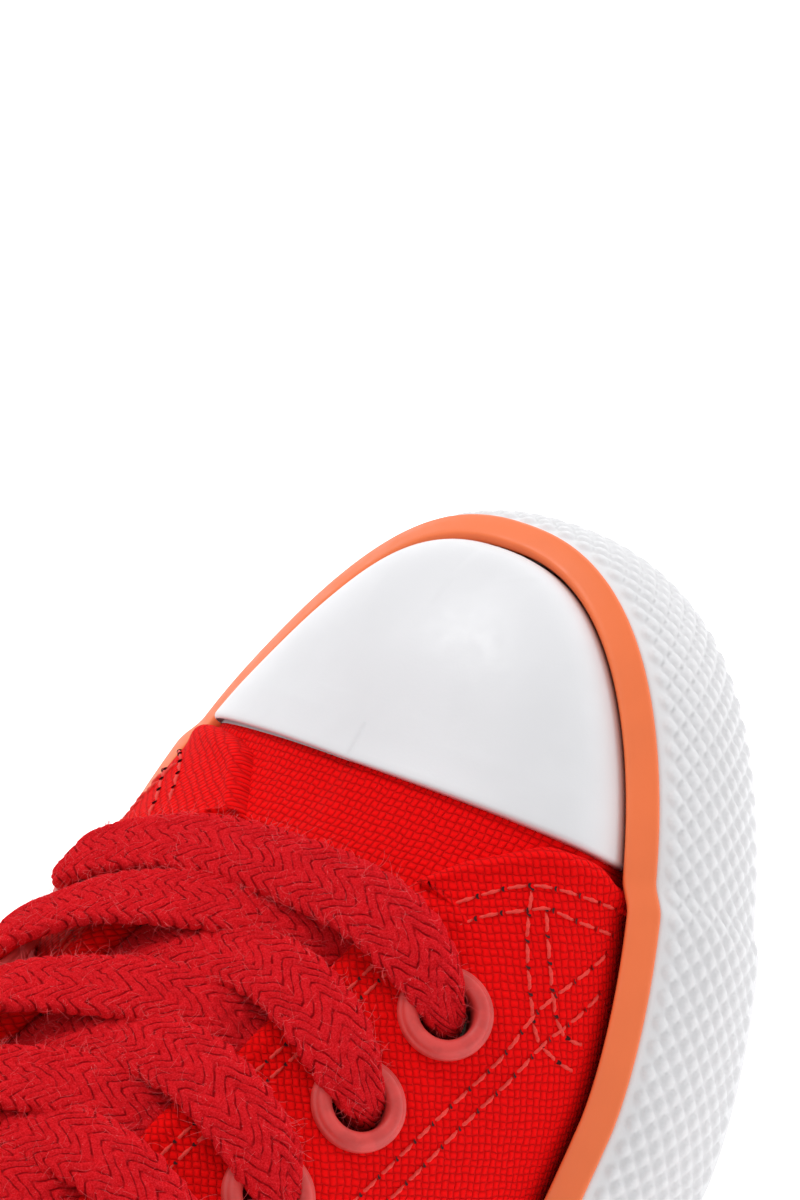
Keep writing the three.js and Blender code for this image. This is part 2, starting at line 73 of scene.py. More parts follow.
away = Vector((
    math.sin(AZIMUTH) * math.cos(ELEVATION),
    -math.cos(AZIMUTH) * math.cos(ELEVATION),
    math.sin(ELEVATION),
))
camera = bpy.data.objects.new("camera", bpy.data.cameras.new("camera"))
bpy.context.scene.collection.objects.link(camera)
camera.data.lens = LENS
camera.data.sensor_width = 36.0
camera.data.sensor_fit = "AUTO"
camera.data.clip_start = 0.01
camera.location = TARGET + away * DISTANCE * MM
turn = (-away).to_track_quat("-Z", "Y").to_matrix().to_4x4()
camera.matrix_world = Matrix.Translation(camera.location) @ turn @ Matrix.Rotation(ROLL, 4, "Z")
bpy.context.scene.camera = camera
bpy.context.scene.view_settings.view_transform = "Standard"
print("camera height", round(camera.location.z, 3), "m")

# %% [markdown]
# ## Tables and the last
# A shoemaker works round a last, a solid foot shape. Here the last is a short table of
# sections and two rules that round off toe and heel. Reading a table by a smooth curve gives
# every piece the same flowing form.

# %% Tables
class Table:
    """Rows of numbers with named columns, read by a smooth curve through them."""

    def __init__(self, names, *rows):
        self.names = names.split()
        self.rows = np.array(rows, float)

    def read(self, name, at):
        x = self.rows[:, 0]
        y = self.rows[:, self.names.index(name)]
        at = np.clip(np.asarray(at, float), x[0], x[-1])
        count = len(x)
        before = np.maximum(np.arange(count) - 1, 0)
        after = np.minimum(np.arange(count) + 1, count - 1)
        slope = (y[after] - y[before]) / (x[after] - x[before])
        i = np.clip(np.searchsorted(x, at) - 1, 0, count - 2)
        span = x[i + 1] - x[i]
        s = (at - x[i]) / span
        return (
            y[i] * (2 * s**3 - 3 * s**2 + 1)
            + slope[i] * span * (s**3 - 2 * s**2 + s)
            + y[i + 1] * (3 * s**2 - 2 * s**3)
            + slope[i + 1] * span * (s**3 - s**2)
        )

    def line(self, name, at):
        return np.interp(at, self.rows[:, 0], self.rows[:, self.names.index(name)])


def smooth(start, end, value):
    s = np.clip((value - start) / (end - start), 0, 1)
    return s * s * (3 - 2 * s)


PLAN = Table(
    "at mid right left",
    (0, 0, 39.1, 38),
    (8, 0, 39.1, 37.4),
    (18, 0, 39.1, 37.6),
    (30, 0, 39.1, 38.4),
    (60, 0, 39.1, 39.1),
    (85, 0.8, 38.2, 38.2),
    (110, 2, 35.6, 35.6),
    (135, 2.4, 33.2, 33.2),
    (160, 1.4, 32.6, 32.6),
    (185, 0.4, 32.6, 32.6),
    (206, 0, 32.6, 32.6),
)
LAST = Table(
    "at ridge round lean",
    (0, 31, 0.76, 0),
    (6, 31.9, 0.76, 0.05),
    (16, 33.8, 0.76, 0.28),
    (32.6, 35.7, 0.78, 0.32),
    (43, 40, 0.96, 0.14),
    (55, 47.3, 1.12, 0),
    (68, 56, 1.08, 0),
    (81, 64, 1, 0),
    (94, 71, 0.9, 0),
    (107, 77, 0.82, 0),
    (120, 82, 0.8, 0),
    (145, 86, 0.8, 0),
    (206, 86, 0.8, 0),
)
TOE_ROUND, TOE_POWER, TOE_SHAPE = 59.5, 1.5, 2.32
HEEL_ROUND, HEEL_POWER, HEEL_SHAPE = 40.0, 2.2, 2.1
TOE_POLE, HEEL_POLE = 28.0, 178.0
RIM = 21.8
VAMP_INSET = 5.0
TOE_SPRING, SPRING_END = 4.1, 77.0
ARCH_RISE, ARCH_START, ARCH_LENGTH = 2.2, 104.0, 42.0
print("widest point of the plan", PLAN.rows[:, 2].max() + PLAN.rows[:, 3].max(), "mm")

# %% [markdown]
# ## The welt line and the last
# The welt line is the outline where upper meets sole. Every place round it has a number, u,
# which is 0 at the toe tip and 1 or -1 at the heel, left or right. An angle then climbs from the
# rim to the ridge. Two numbers and a distance outward are enough to stand anywhere on the shoe.

# %% The welt line and the last
def half_at(at, hand):
    """Half width on one side: hand is negative for the right and positive for the left."""
    toe = np.clip((TOE_ROUND - at) / TOE_ROUND, 0, 1)
    heel = np.clip((at - WELT_LENGTH + HEEL_ROUND) / HEEL_ROUND, 0, 1)
    return (
        np.where(hand < 0, PLAN.read("right", at), PLAN.read("left", at))
        * (1 - toe**TOE_POWER) ** (1 / TOE_SHAPE)
        * (1 - heel**HEEL_POWER) ** (1 / HEEL_SHAPE)
    )


def spring(at):
    """How far the toe rises from the ground."""
    return TOE_SPRING * np.clip((SPRING_END - at) / SPRING_END, 0, 1.2) ** 2


def arch(at):
    """How far the underside rises under the waist."""
    return ARCH_RISE * np.sin(np.pi * np.clip((at - ARCH_START) / ARCH_LENGTH, 0, 1)) ** 2


def welt(u):
    at = WELT_LENGTH / 2 * (1 - np.cos(np.pi * u))
    return np.stack([PLAN.read("mid", at) + np.sign(u) * half_at(at, u), at], -1)


def beside(u, out):
    """Points beside the welt line, out millimetres outward. u is 0 at the toe, 1 or -1 at the heel."""
    u = np.asarray(u, float)
    step = 0.002

    def wrap(v):
        return np.where(v > 1, v - 2, np.where(v < -1, v + 2, v))

    here = welt(u)
    along = welt(wrap(u + step)) - welt(wrap(u - step))
    run = np.hypot(along[..., 0], along[..., 1])
    return np.stack(
        [here[..., 0] + out * along[..., 1] / run, here[..., 1] - out * along[..., 0] / run], -1
    )


def cross_at(u):
    u = np.asarray(u, float)
    return (beside(u, -VAMP_INSET)[..., 1] + beside(-u, -VAMP_INSET)[..., 1]) / 2


TURNS = np.linspace(0, 1, 4001)
STATIONS = cross_at(TURNS)


def turn_of(at):
    return np.interp(at, STATIONS, TURNS)


def round_at(at, hand, share=1.0):
    """Roundness of a section; share is 0 on the ridge, where both sides must meet smoothly."""
    lean = LAST.read("lean", at) * smooth(0, 0.75, share)
    return LAST.read("round", np.clip(at, TOE_POLE, HEEL_POLE)) + np.where(hand > 0, lean, 0)


def last(u, phi, out):
    """Points on the last: phi is 0 at the rim and a right angle on the ridge."""
    u, phi, out = np.broadcast_arrays(*[np.asarray(v, float) for v in (u, phi, out)])
    edge = beside(u, out - VAMP_INSET)
    section = cross_at(u)
    pole = np.clip(section, TOE_POLE, HEEL_POLE)
    round_ = round_at(section, u, np.maximum(np.cos(phi), 0) ** 0.8)
    keep = np.maximum(np.cos(phi), 0) ** round_
    mid = PLAN.read("mid", pole)
    x = mid + (edge[..., 0] - mid) * keep
    at = pole + (edge[..., 1] - pole) * keep
    rim = RIM + spring(section)
    z = rim + (LAST.read("ridge", at) + out - rim) * np.sin(phi) ** round_
    return np.stack([x, at, z], -1)


def side_point(at, side, out):
    """A point of the last by station and distance from the mid line."""
    at, side, out = np.broadcast_arrays(*[np.asarray(v, float) for v in (at, side, out)])
    half = half_at(at, side) - VAMP_INSET + out
    share = np.clip(np.abs(side) / half, 0, 1)
    round_ = round_at(at, side, share)
    phi = np.arccos(share ** (1 / round_))
    rim = RIM + spring(at)
    z = rim + (LAST.read("ridge", at) + out - rim) * np.sin(phi) ** round_
    return np.stack([PLAN.read("mid", at) + side, at, z], -1)


def side_normal(at, side, out):
    step = 0.4
    along = side_point(at + step, side, out) - side_point(at - step, side, out)
    across = side_point(at, side + step, out) - side_point(at, side - step, out)
    n = np.cross(across, along)
    return n / np.linalg.norm(n, axis=-1, keepdims=True)


print("half width at the ball", round(float(half_at(60.0, 1)), 1), "mm")

# %% [markdown]
# ## Meshes from grids
# Shoe parts are sheets and sweeps, so most of them are one grid of points. This helper turns
# a grid into a mesh in metres, welds doubled points at the poles, and stores a map called
# "cloth" whose unit is a millimetre, for weaves that must run along the piece.

# %% Mesh helper
def arc_lengths(points, axis):
    step = np.linalg.norm(np.diff(points, axis=axis), axis=-1)
    zero = np.zeros_like(np.take(step, [0], axis=axis))
    return np.concatenate([zero, np.cumsum(step, axis=axis)], axis=axis)


def make_mesh(name, points, faces, cloth=None, smooth_faces=True):
    """points in shoe millimetres; cloth is one (u, v) per face corner."""
    points = np.asarray(points, float).reshape(-1, 3)
    world = np.stack([points[:, 0], points[:, 1] + FRONT, points[:, 2]], -1) * MM
    mesh = bpy.data.meshes.new(name)
    mesh.from_pydata(world.tolist(), [], [tuple(int(i) for i in f) for f in faces])
    if cloth is not None:
        layer = mesh.uv_layers.new(name="cloth")
        layer.data.foreach_set("uv", np.asarray(cloth, np.float32).reshape(-1))
    mesh.polygons.foreach_set("use_smooth", [smooth_faces] * len(mesh.polygons))
    piece = bpy.data.objects.new(name, mesh)
    bpy.context.scene.collection.objects.link(piece)
    return piece


def grid_faces(rows, cols, wrap_rows=False, wrap_cols=False):
    r = np.arange(rows if wrap_rows else rows - 1)
    c = np.arange(cols if wrap_cols else cols - 1)
    i, j = np.meshgrid(r, c, indexing="ij")
    i2, j2 = (i + 1) % rows, (j + 1) % cols
    faces = np.stack([i * cols + j, i2 * cols + j, i2 * cols + j2, i * cols + j2], -1).reshape(-1, 4)
    corner = np.stack([
        np.stack([i, j], -1),
        np.stack([i + 1, j], -1),
        np.stack([i + 1, j + 1], -1),
        np.stack([i, j + 1], -1),
    ], -2).reshape(-1, 4, 2)
    return faces, corner


def grid_piece(name, points, wrap_rows=False, wrap_cols=False, cloth=None):
    rows, cols = points.shape[:2]
    faces, corner = grid_faces(rows, cols, wrap_rows, wrap_cols)
    if cloth is None:
        u = arc_lengths(points, 0)
        v = arc_lengths(points, 1)
        cloth = np.stack([u, v], -1)
    i = np.minimum(corner[..., 0], rows - 1)
    j = np.minimum(corner[..., 1], cols - 1)
    uv = cloth[i, j]
    return make_mesh(name, points, faces, uv)


def tidy(piece, weld):
    """Welds doubled points and turns every face outward."""
    bm = bmesh.new()
    bm.from_mesh(piece.data)
    bmesh.ops.remove_doubles(bm, verts=bm.verts, dist=weld * MM)
    bmesh.ops.dissolve_degenerate(bm, edges=bm.edges, dist=weld * MM * 0.1)
    bmesh.ops.recalc_face_normals(bm, faces=bm.faces)
    bm.to_mesh(piece.data)
    bm.free()


def loop_turns(count):
    """Places round the welt line, evenly spaced by length."""
    u = np.linspace(-1, 1, 8001)
    line = welt(u)
    length = arc_lengths(line, 0)
    even = np.linspace(0, length[-1], count, endpoint=False)
    return np.interp(even, length, u), even, length[-1]


def finish_piece(piece, material, slot, *nodes):
    if not piece.data.materials:
        piece.data.materials.append(material)
    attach(piece, "root")
    if nodes:
        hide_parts(*nodes)
    print(piece.name, len(piece.data.polygons), "faces")


# %% [markdown]
# ## Materials
# Rubber is nearly plain, so its life comes from a soft sheen, faint mottling and specks of
# dirt. Canvas is a plain weave: threads pass over and under each other, so its bump is a
# chequer of long and short pads. The same node recipe, with other sizes, serves tongue and lining.

# %% Material helpers
class Graph:
    """Short calls for building a node tree."""

    def __init__(self, name):
        self.material = bpy.data.materials.new(name)
        self.material.use_nodes = True
        self.nodes = self.material.node_tree.nodes
        self.links = self.material.node_tree.links
        self.shader = self.nodes["Principled BSDF"]

    def add(self, kind, inputs=(), **settings):
        node = self.nodes.new(kind)
        for key, value in settings.items():
            setattr(node, key, value)
        for key, value in dict(inputs).items():
            if isinstance(value, bpy.types.NodeSocket):
                self.links.new(value, node.inputs[key])
            else:
                node.inputs[key].default_value = value
        return node

    def math(self, operation, a, b=0.0, c=0.0):
        return self.add("ShaderNodeMath", {0: a, 1: b, 2: c}, operation=operation).outputs[0]

    def mix(self, factor, a, b):
        node = self.add("ShaderNodeMix", data_type="RGBA")
        for socket, value in ((node.inputs[0], factor), (node.inputs[6], a), (node.inputs[7], b)):
            if isinstance(value, bpy.types.NodeSocket):
                self.links.new(value, socket)
            else:
                socket.default_value = value
        return node.outputs[2]

    def noise(self, vector, scale, detail=2.0, rough=0.5):
        return self.add(
            "ShaderNodeTexNoise", {"Vector": vector, "Scale": scale, "Detail": detail, "Roughness": rough}
        ).outputs[0]

    def ramp(self, factor, low, high):
        limits = {0: factor, 1: low, 2: high, 3: 0.0, 4: 1.0}
        return self.add("ShaderNodeMapRange", limits, interpolation_type="SMOOTHSTEP").outputs[0]

    def place(self):
        """Object position in millimetres."""
        coord = self.add("ShaderNodeTexCoord").outputs["Object"]
        return self.add("ShaderNodeVectorMath", {0: coord, 3: 1 / MM}, operation="SCALE").outputs[0]

    def cloth(self):
        return self.add("ShaderNodeUVMap", uv_map="cloth").outputs[0]

    def bump(self, height, distance):
        inputs = {"Height": height, "Distance": distance * MM, "Strength": 1.0}
        return self.add("ShaderNodeBump", inputs).outputs[0]

    def set(self, **values):
        for key, value in values.items():
            socket = self.shader.inputs[key.replace("_", " ")]
            if isinstance(value, bpy.types.NodeSocket):
                self.links.new(value, socket)
            else:
                socket.default_value = value


def srgb(r, g, b):
    """A colour from its three usual 0 to 255 values, as linear light."""

    def linear(v):
        v /= 255
        return v / 12.92 if v <= 0.04045 else ((v + 0.055) / 1.055) ** 2.4

    return (linear(r), linear(g), linear(b), 1.0)


# %% [markdown]
# ## Rubber finishes
# Moulded rubber is matte where the mould was blasted and satin where it was smooth. Its tone
# wanders a little over the wall, and street dust leaves a few small warm specks.

# %% Rubber
def rubber(name, color, roughness, specks=0.0, grain=0.02, shade=0.93):
    g = Graph(name)
    place = g.place()
    mottle = g.noise(place, 0.09, 3.0)
    dark = tuple(c * shade for c in color[:3]) + (1.0,)
    tint = g.mix(g.ramp(mottle, 0.35, 0.65), dark, color)
    if specks:
        dots = g.ramp(g.noise(place, 0.55, 5.0, 0.75), 0.735 - specks, 0.76 - specks)
        tint = g.mix(g.math("MULTIPLY", dots, 0.55), tint, srgb(206, 120, 112))
    g.set(Base_Color=tint)
    wear = g.noise(place, 0.6, 4.0)
    limits = {0: wear, 1: 0.3, 2: 0.7, 3: roughness - 0.05, 4: roughness + 0.07}
    g.set(Roughness=g.add("ShaderNodeMapRange", limits).outputs[0])
    g.set(Normal=g.bump(g.noise(place, 3.0, 4.0), grain))
    g.shader.inputs["Specular IOR Level"].default_value = 0.4
    return g.material


FOXING_RUBBER = rubber("foxing_rubber", srgb(231, 231, 233), 0.5, specks=0.02, shade=0.97)
CAP_RUBBER = rubber("cap_rubber", srgb(234, 234, 237), 0.42, grain=0.008, shade=0.97)
STRIPE_RUBBER = rubber("stripe_rubber", srgb(250, 124, 70), 0.45, grain=0.008, shade=0.95)
SOLE_RUBBER = rubber("sole_rubber", srgb(224, 224, 226), 0.6, specks=0.02, shade=0.9)
print("rubber finishes", len(bpy.data.materials))

# %% [markdown]
# ## Canvas
# Two sine waves, one for each direction of thread, give the weave. Where their product is
# positive the warp lies on top, elsewhere the weft, and each thread is rounded across itself.
# A slow noise moves the lines, so that no thread is quite straight.

# %% Canvas
def canvas(name, color, thread, slant=0.0, depth=0.22, fleck=0.5):
    g = Graph(name)
    cloth = g.cloth()
    if slant:
        turned = g.add("ShaderNodeVectorRotate", {"Vector": cloth, "Angle": slant}, rotation_type="Z_AXIS")
        cloth = turned.outputs[0]
    wobble = g.add("ShaderNodeTexNoise", {"Vector": cloth, "Scale": 0.35, "Detail": 2.0}).outputs[1]
    wobble = g.add("ShaderNodeVectorMath", {0: wobble, 3: thread * 0.9}, operation="SCALE").outputs[0]
    moved = g.add("ShaderNodeVectorMath", {0: cloth, 1: wobble}, operation="ADD").outputs[0]
    split = g.add("ShaderNodeSeparateXYZ", {0: moved})
    a = g.math("SINE", g.math("MULTIPLY", split.outputs[0], math.pi / thread))
    b = g.math("SINE", g.math("MULTIPLY", split.outputs[1], math.pi / thread))
    over = g.ramp(g.math("MULTIPLY", a, b), -0.05, 0.05)
    aa, bb = g.math("ABSOLUTE", a), g.math("ABSOLUTE", b)
    warp = g.math("MULTIPLY", g.math("POWER", aa, 0.8), g.math("POWER", bb, 0.22))
    weft = g.math("MULTIPLY", g.math("POWER", aa, 0.22), g.math("POWER", bb, 0.8))
    under = g.math("SUBTRACT", 1.0, over)
    height = g.math("ADD", g.math("MULTIPLY", over, warp), g.math("MULTIPLY", under, weft))
    fibre = g.noise(cloth, 6.0 / thread, 3.0, 0.7)
    slub = g.noise(cloth, 0.9, 3.0)
    bump = g.math("ADD", height, g.math("MULTIPLY", fibre, 0.35))
    bump = g.math("ADD", bump, g.math("MULTIPLY", slub, 0.5))
    # Painted shade: where the weave is low, in the hollows between threads, the red is darker.
    hollow_shade = tuple(c * 0.68 for c in color[:3]) + (1.0,)
    pale = tuple(min(1.0, c * 1.12 + 0.003) for c in color[:3]) + (1.0,)
    tint = g.mix(g.ramp(height, 0.1, 0.95), hollow_shade, color)
    flecks = g.ramp(g.noise(cloth, 2.2 / thread, 2.0), 0.5, 0.72)
    tint = g.mix(g.math("MULTIPLY", flecks, fleck), tint, pale)
    g.set(Base_Color=tint, Roughness=0.85)
    g.set(Normal=g.bump(bump, depth))
    g.shader.inputs["Specular IOR Level"].default_value = 0.06
    g.shader.inputs["Sheen Weight"].default_value = 0.12
    g.shader.inputs["Sheen Roughness"].default_value = 0.4
    g.shader.inputs["Sheen Tint"].default_value = srgb(255, 90, 90)
    return g.material


RED = srgb(255, 10, 12)
VAMP_CANVAS = canvas("vamp_canvas", RED, 0.86, slant=0.0)
QUARTER_CANVAS = canvas("quarter_canvas", RED, 0.86, slant=0.35)
# The tongue's red is darker than the quarters' red: painted shade for the tongue lying in shadow under the
# laces.
TONGUE_CANVAS_SHADED = canvas("tongue_canvas", srgb(186, 8, 10), 0.86)
LINING_CLOTH = canvas("lining_cloth", srgb(228, 222, 210), 0.5, depth=0.1)
INSOLE_CLOTH = canvas("insole_cloth", srgb(214, 208, 196), 0.6, depth=0.1)
print("with canvas", len(bpy.data.materials))

# %% [markdown]
# ## Lace, thread and plastic
# The lace is brushed wool-like yarn. Its map gives the distance across the strands of the plait,
# so the grooves between strands are painted darker as shade, and streaks of fibre run along each
# strand. The thread, the eyelets and the needle holes are plainer and share one recipe; the needle
# holes are dark discs, painted shade where each hole is.

# %% Lace, thread, eyelet and hole finishes
PLAIT = 0.95


def wool():
    g = Graph("lace_wool")
    cloth = g.cloth()
    place = g.place()
    split = g.add("ShaderNodeSeparateXYZ", {0: cloth})
    stray = g.math("SUBTRACT", g.noise(place, 1.4, 2.0), 0.5)
    across = g.math("ADD", split.outputs[0], g.math("MULTIPLY", stray, 0.12))
    strand = g.math("ABSOLUTE", g.math("SINE", g.math("MULTIPLY", across, math.pi / PLAIT)))
    fine_across = g.math("MULTIPLY", split.outputs[0], 9.0)
    long_fibre = g.add("ShaderNodeCombineXYZ", {0: fine_across, 1: split.outputs[1]})
    fibre = g.noise(long_fibre.outputs[0], 1.3, 4.0, 0.75)
    fine = g.noise(place, 5.0, 4.0, 0.8)
    tint = g.mix(g.ramp(fine, 0.36, 0.66), srgb(224, 10, 18), srgb(255, 44, 54))
    # Painted shade: the grooves between strands are coloured dark red.
    groove_shade = g.math("MULTIPLY", g.ramp(strand, 0.5, 0.05), g.ramp(g.noise(place, 0.8, 3.0), 0.3, 0.62))
    tint = g.mix(g.math("MULTIPLY", groove_shade, 0.85), tint, srgb(120, 0, 4))
    tint = g.mix(g.math("MULTIPLY", g.ramp(fibre, 0.56, 0.74), 0.4), tint, srgb(255, 84, 90))
    lint = g.ramp(g.noise(place, 2.6, 3.0, 0.7), 0.66, 0.72)
    tint = g.mix(g.math("MULTIPLY", lint, 0.6), tint, srgb(255, 120, 122))
    g.set(Base_Color=tint, Roughness=0.95)
    nap = g.math("ADD", fibre, g.math("MULTIPLY", fine, 0.7))
    relief = g.math("ADD", g.math("MULTIPLY", strand, 0.8), nap)
    g.set(Normal=g.bump(relief, 0.2))
    g.shader.inputs["Specular IOR Level"].default_value = 0.03
    g.shader.inputs["Sheen Weight"].default_value = 0.12
    g.shader.inputs["Sheen Roughness"].default_value = 0.35
    g.shader.inputs["Sheen Tint"].default_value = srgb(255, 60, 66)
    return g.material


def plain(name, color, roughness, scale, grain, sheen=0.0):
    g = Graph(name)
    place = g.place()
    shade = tuple(c * 0.82 for c in color[:3]) + (1.0,)
    mottle = g.ramp(g.noise(place, scale, 3.0), 0.35, 0.65)
    g.set(Base_Color=g.mix(mottle, shade, color), Roughness=roughness)
    g.set(Normal=g.bump(g.noise(place, scale * 2.5, 4.0, 0.7), grain))
    g.shader.inputs["Sheen Weight"].default_value = sheen
    return g.material


LACE_WOOL = wool()
LACE_FUZZ = plain("lace_fuzz", srgb(250, 84, 88), 0.9, 1.0, 0.01, sheen=0.3)
STITCH_THREAD = plain("stitch_thread", srgb(246, 62, 52), 0.7, 3.0, 0.04)
EYELET_PLASTIC = plain("eyelet_plastic", srgb(224, 70, 66), 0.5, 0.5, 0.015)
# The needle holes are dark discs: painted shade standing for the shadow inside each hole.
NEEDLE_HOLE_SHADE = plain("needle_hole_shade", srgb(60, 0, 0), 0.95, 2.0, 0.01)
print("materials", len(bpy.data.materials))

# %% [markdown]
# ## Foxing
# The foxing is the rubber wall round the sole. Its section is a barrel, so it is an arc swept
# round the welt line. Small rounded studs stand on a diagonal lattice. They are modelled, not
# painted: each grid point is pushed out by the height of the stud it falls on.

# %% Foxing
CAP_REAR = 32.6
JOG = 1.0
BARREL = 23.0
BARREL_OUT = 2.95
BARREL_Z = 8.1
STUD_PITCH = 2.75
STUD_HEIGHT = 0.42
STUD_SQUARE = 3.2


def jog(at):
    """The wall steps out where the thicker quarters start."""
    return JOG * smooth(CAP_REAR - 0.5, CAP_REAR + 3.5, at)


def ring_points(turns, out, z):
    """Sweeps a section round the welt line; out and z may differ at every point."""
    at = welt(turns)[..., 1]
    base = beside(turns[:, None], out + jog(at)[:, None])
    return np.concatenate([base, (z + spring(base[..., 1]))[..., None]], -1)


turns, lengths, loop = loop_turns(1400)
studs_round = round(loop / STUD_PITCH)
theta = np.radians(np.linspace(-18.4, 28.8, 58))
s = lengths[:, None] / loop * studs_round
t = (theta * BARREL / STUD_PITCH)[None, :]
a, b = s + t, s - t
ca, cb = np.round(a), np.round(b)
fa, fb = 2 * (a - ca), 2 * (b - cb)
reach = (np.abs(fa) ** STUD_SQUARE + np.abs(fb) ** STUD_SQUARE) ** (1 / STUD_SQUARE)
stud = STUD_HEIGHT * (1 - smooth(0.5, 0.98, reach)) * (0.84 + 0.16 * (1 - reach**2))
level = (ca - cb) / 2 * STUD_PITCH / BARREL
stud = np.where((level > theta[0] + 0.045) & (level < theta[-1] - 0.055), stud, 0)
radius = BARREL + stud
out = BARREL_OUT - BARREL + radius * np.cos(theta)
z = BARREL_Z + radius * np.sin(theta)
wall = ring_points(turns, out, z)
inner_out = np.array([-0.15, -3.0, -3.2, -3.2, -3.0, -0.6, 1.2])
inner_z = np.array([19.4, 19.4, 19.2, 1.1, 0.85, 0.8, 0.82])
inside = ring_points(turns, np.broadcast_to(inner_out, (len(turns), 7)), inner_z)
points = np.concatenate([wall, inside], 1)
foxing = grid_piece("foxing_wall", points, wrap_rows=True, wrap_cols=True)
finish_piece(foxing, FOXING_RUBBER, "foxing_rubber", "foxing")

# %% [markdown]
# ## Stripe
# A strip of orange rubber lies on the foxing's top edge. It leans in towards the upper and
# stands a hair proud of the wall. Its section is a short list of points swept round the welt.

# %% Stripe
turns, lengths, loop = loop_turns(900)
section = np.array([
    (-3.2, 19.5), (-1.5, 19.45), (0.05, 19.5), (0.22, 19.62), (0.26, 19.8), (0.2, 20.02),
    (-0.05, 20.3), (-1.0, 20.98), (-1.9, 21.6), (-2.3, 21.86), (-2.48, 21.9), (-2.66, 21.84),
    (-3.0, 21.45), (-3.18, 21.2), (-3.2, 20.6),
])
out = np.broadcast_to(section[:, 0], (len(turns), len(section)))
stripe = grid_piece("stripe_band", ring_points(turns, out, section[:, 1]), True, True)
tidy(stripe, 0.001)
finish_piece(stripe, STRIPE_RUBBER, "stripe_rubber", "stripe")

# %% [markdown]
# ## Toe cap
# The cap is a thin rubber dome over the toe. It is cut square across the shoe, and its rear
# edge is soft, so the last few columns of the grid roll down to the canvas.

# %% Toe cap
CAP_FACE, CAP_GAP, CAP_EDGE = 1.5, 0.1, 0.55
CAP_FOOT = 19.8
end = turn_of(CAP_REAR - CAP_EDGE)
body = np.linspace(-end, end, 181)
roll = np.linspace(0, np.pi / 2, 6)[1:]
roll_turns = turn_of(CAP_REAR - CAP_EDGE + CAP_EDGE * np.sin(roll))
roll_out = CAP_FACE - CAP_EDGE * (1 - np.cos(roll))
columns = np.concatenate([-roll_turns[::-1], body, roll_turns])
face = np.concatenate([roll_out[::-1], np.full(len(body), CAP_FACE), roll_out])
phi = np.arccos(np.clip(1 - np.linspace(0, 1, 64) ** 1.6, 0, 1) ** 1.3)
outer = last(columns[:, None], phi[None, :], face[:, None])
inner = last(columns[:, None], phi[None, ::-1], CAP_GAP)
skirt = outer[:, :1].copy()
skirt[..., 2] = CAP_FOOT + spring(cross_at(columns))[:, None]
skirt_in = inner[:, -1:].copy()
skirt_in[..., 2] = skirt[..., 2]
points = np.concatenate([skirt, outer, inner, skirt_in], 1)
toe_cap = grid_piece("toe_cap_shell", points, wrap_cols=True)


def close_ends(piece):
    """Fills the open ends of a tube grid."""
    bm = bmesh.new()
    bm.from_mesh(piece.data)
    bmesh.ops.remove_doubles(bm, verts=bm.verts, dist=0.002 * MM)
    edges = [e for e in bm.edges if e.is_boundary]
    bmesh.ops.holes_fill(bm, edges=edges, sides=0)
    bmesh.ops.recalc_face_normals(bm, faces=bm.faces)
    bm.to_mesh(piece.data)
    bm.free()


close_ends(toe_cap)


def soften_ridge(piece, reach, rear, rounds):
    """Relaxes the outer skin beside the ridge, where the two sides of the grid meet."""
    bm = bmesh.new()
    bm.from_mesh(piece.data)
    top_of = LAST.read("ridge", np.array([v.co.y / MM - FRONT for v in bm.verts])) + CAP_GAP + 0.5
    verts = [
        v for v, floor_z in zip(bm.verts, top_of)
        if abs(v.co.x / MM - float(PLAN.read("mid", v.co.y / MM - FRONT))) < reach
        and v.co.y / MM - FRONT < rear
        and v.co.z / MM > floor_z - 0.05 * (v.co.x / MM) ** 2 - 0.4
    ]
    for _ in range(rounds):
        bmesh.ops.smooth_vert(
            bm, verts=verts, factor=0.5, use_axis_x=True, use_axis_y=True, use_axis_z=True
        )
    bm.to_mesh(piece.data)
    bm.free()
    print("relaxed", len(verts), "points of the cap's ridge")


soften_ridge(toe_cap, 9.0, CAP_REAR - 7.0, 30)
finish_piece(toe_cap, CAP_RUBBER, "cap_rubber", "toe_cap")

# %% [markdown]
# ## Throat and collar
# The upper is closed over the ridge of the toe and splits at the throat, which sits a little
# towards the big toe. The throat's edges differ a little on the two sides, so they are two
# columns of one table. The collar is a height for each station, lowest under the ankle.

# %% Edges of the upper
THROAT_FRONT = 43.0
THROAT = Table(
    "at right left",
    (43, 0, 0),
    (43.7, 7.5, 4),
    (45.2, 13, 7),
    (48, 15.8, 9),
    (54, 15.4, 9.8),
    (66, 14.5, 10.6),
    (80, 13.7, 11.8),
    (107, 13.5, 13.5),
    (206, 13, 13),
)
COLLAR = Table(
    "at height",
    (0, 96),
    (104, 90),
    (111, 77),
    (120, 68),
    (132, 59.5),
    (147, 55),
    (162, 55.5),
    (180, 60),
    (194, 65),
    (206, 67),
)


def top_angle(u):
    u = np.asarray(u, float)
    at = cross_at(u)
    round_ = round_at(at, u)
    half = np.maximum(half_at(at, u) - VAMP_INSET, 1)
    gap = np.where(u < 0, THROAT.line("right", at), THROAT.line("left", at))
    by_gap = np.arccos(np.clip(gap / half, 0, 1) ** (1 / round_))
    by_gap = np.where(at > HEEL_POLE, np.pi / 2, by_gap)
    rim = RIM + spring(at)
    rise = np.clip((COLLAR.read("height", at) - rim) / (LAST.read("ridge", at) - rim), 0, 1)
    by_collar = np.arcsin(rise ** (1 / round_))
    return np.where(at <= THROAT_FRONT, np.pi / 2, np.minimum(by_gap, by_collar))


# %% [markdown]
# ## Vamp
# The vamp is cut as one piece and pulled over the toe of the last. The cap hides its front and
# the quarters hide its sides, so only the band between them and its throat edge are seen.

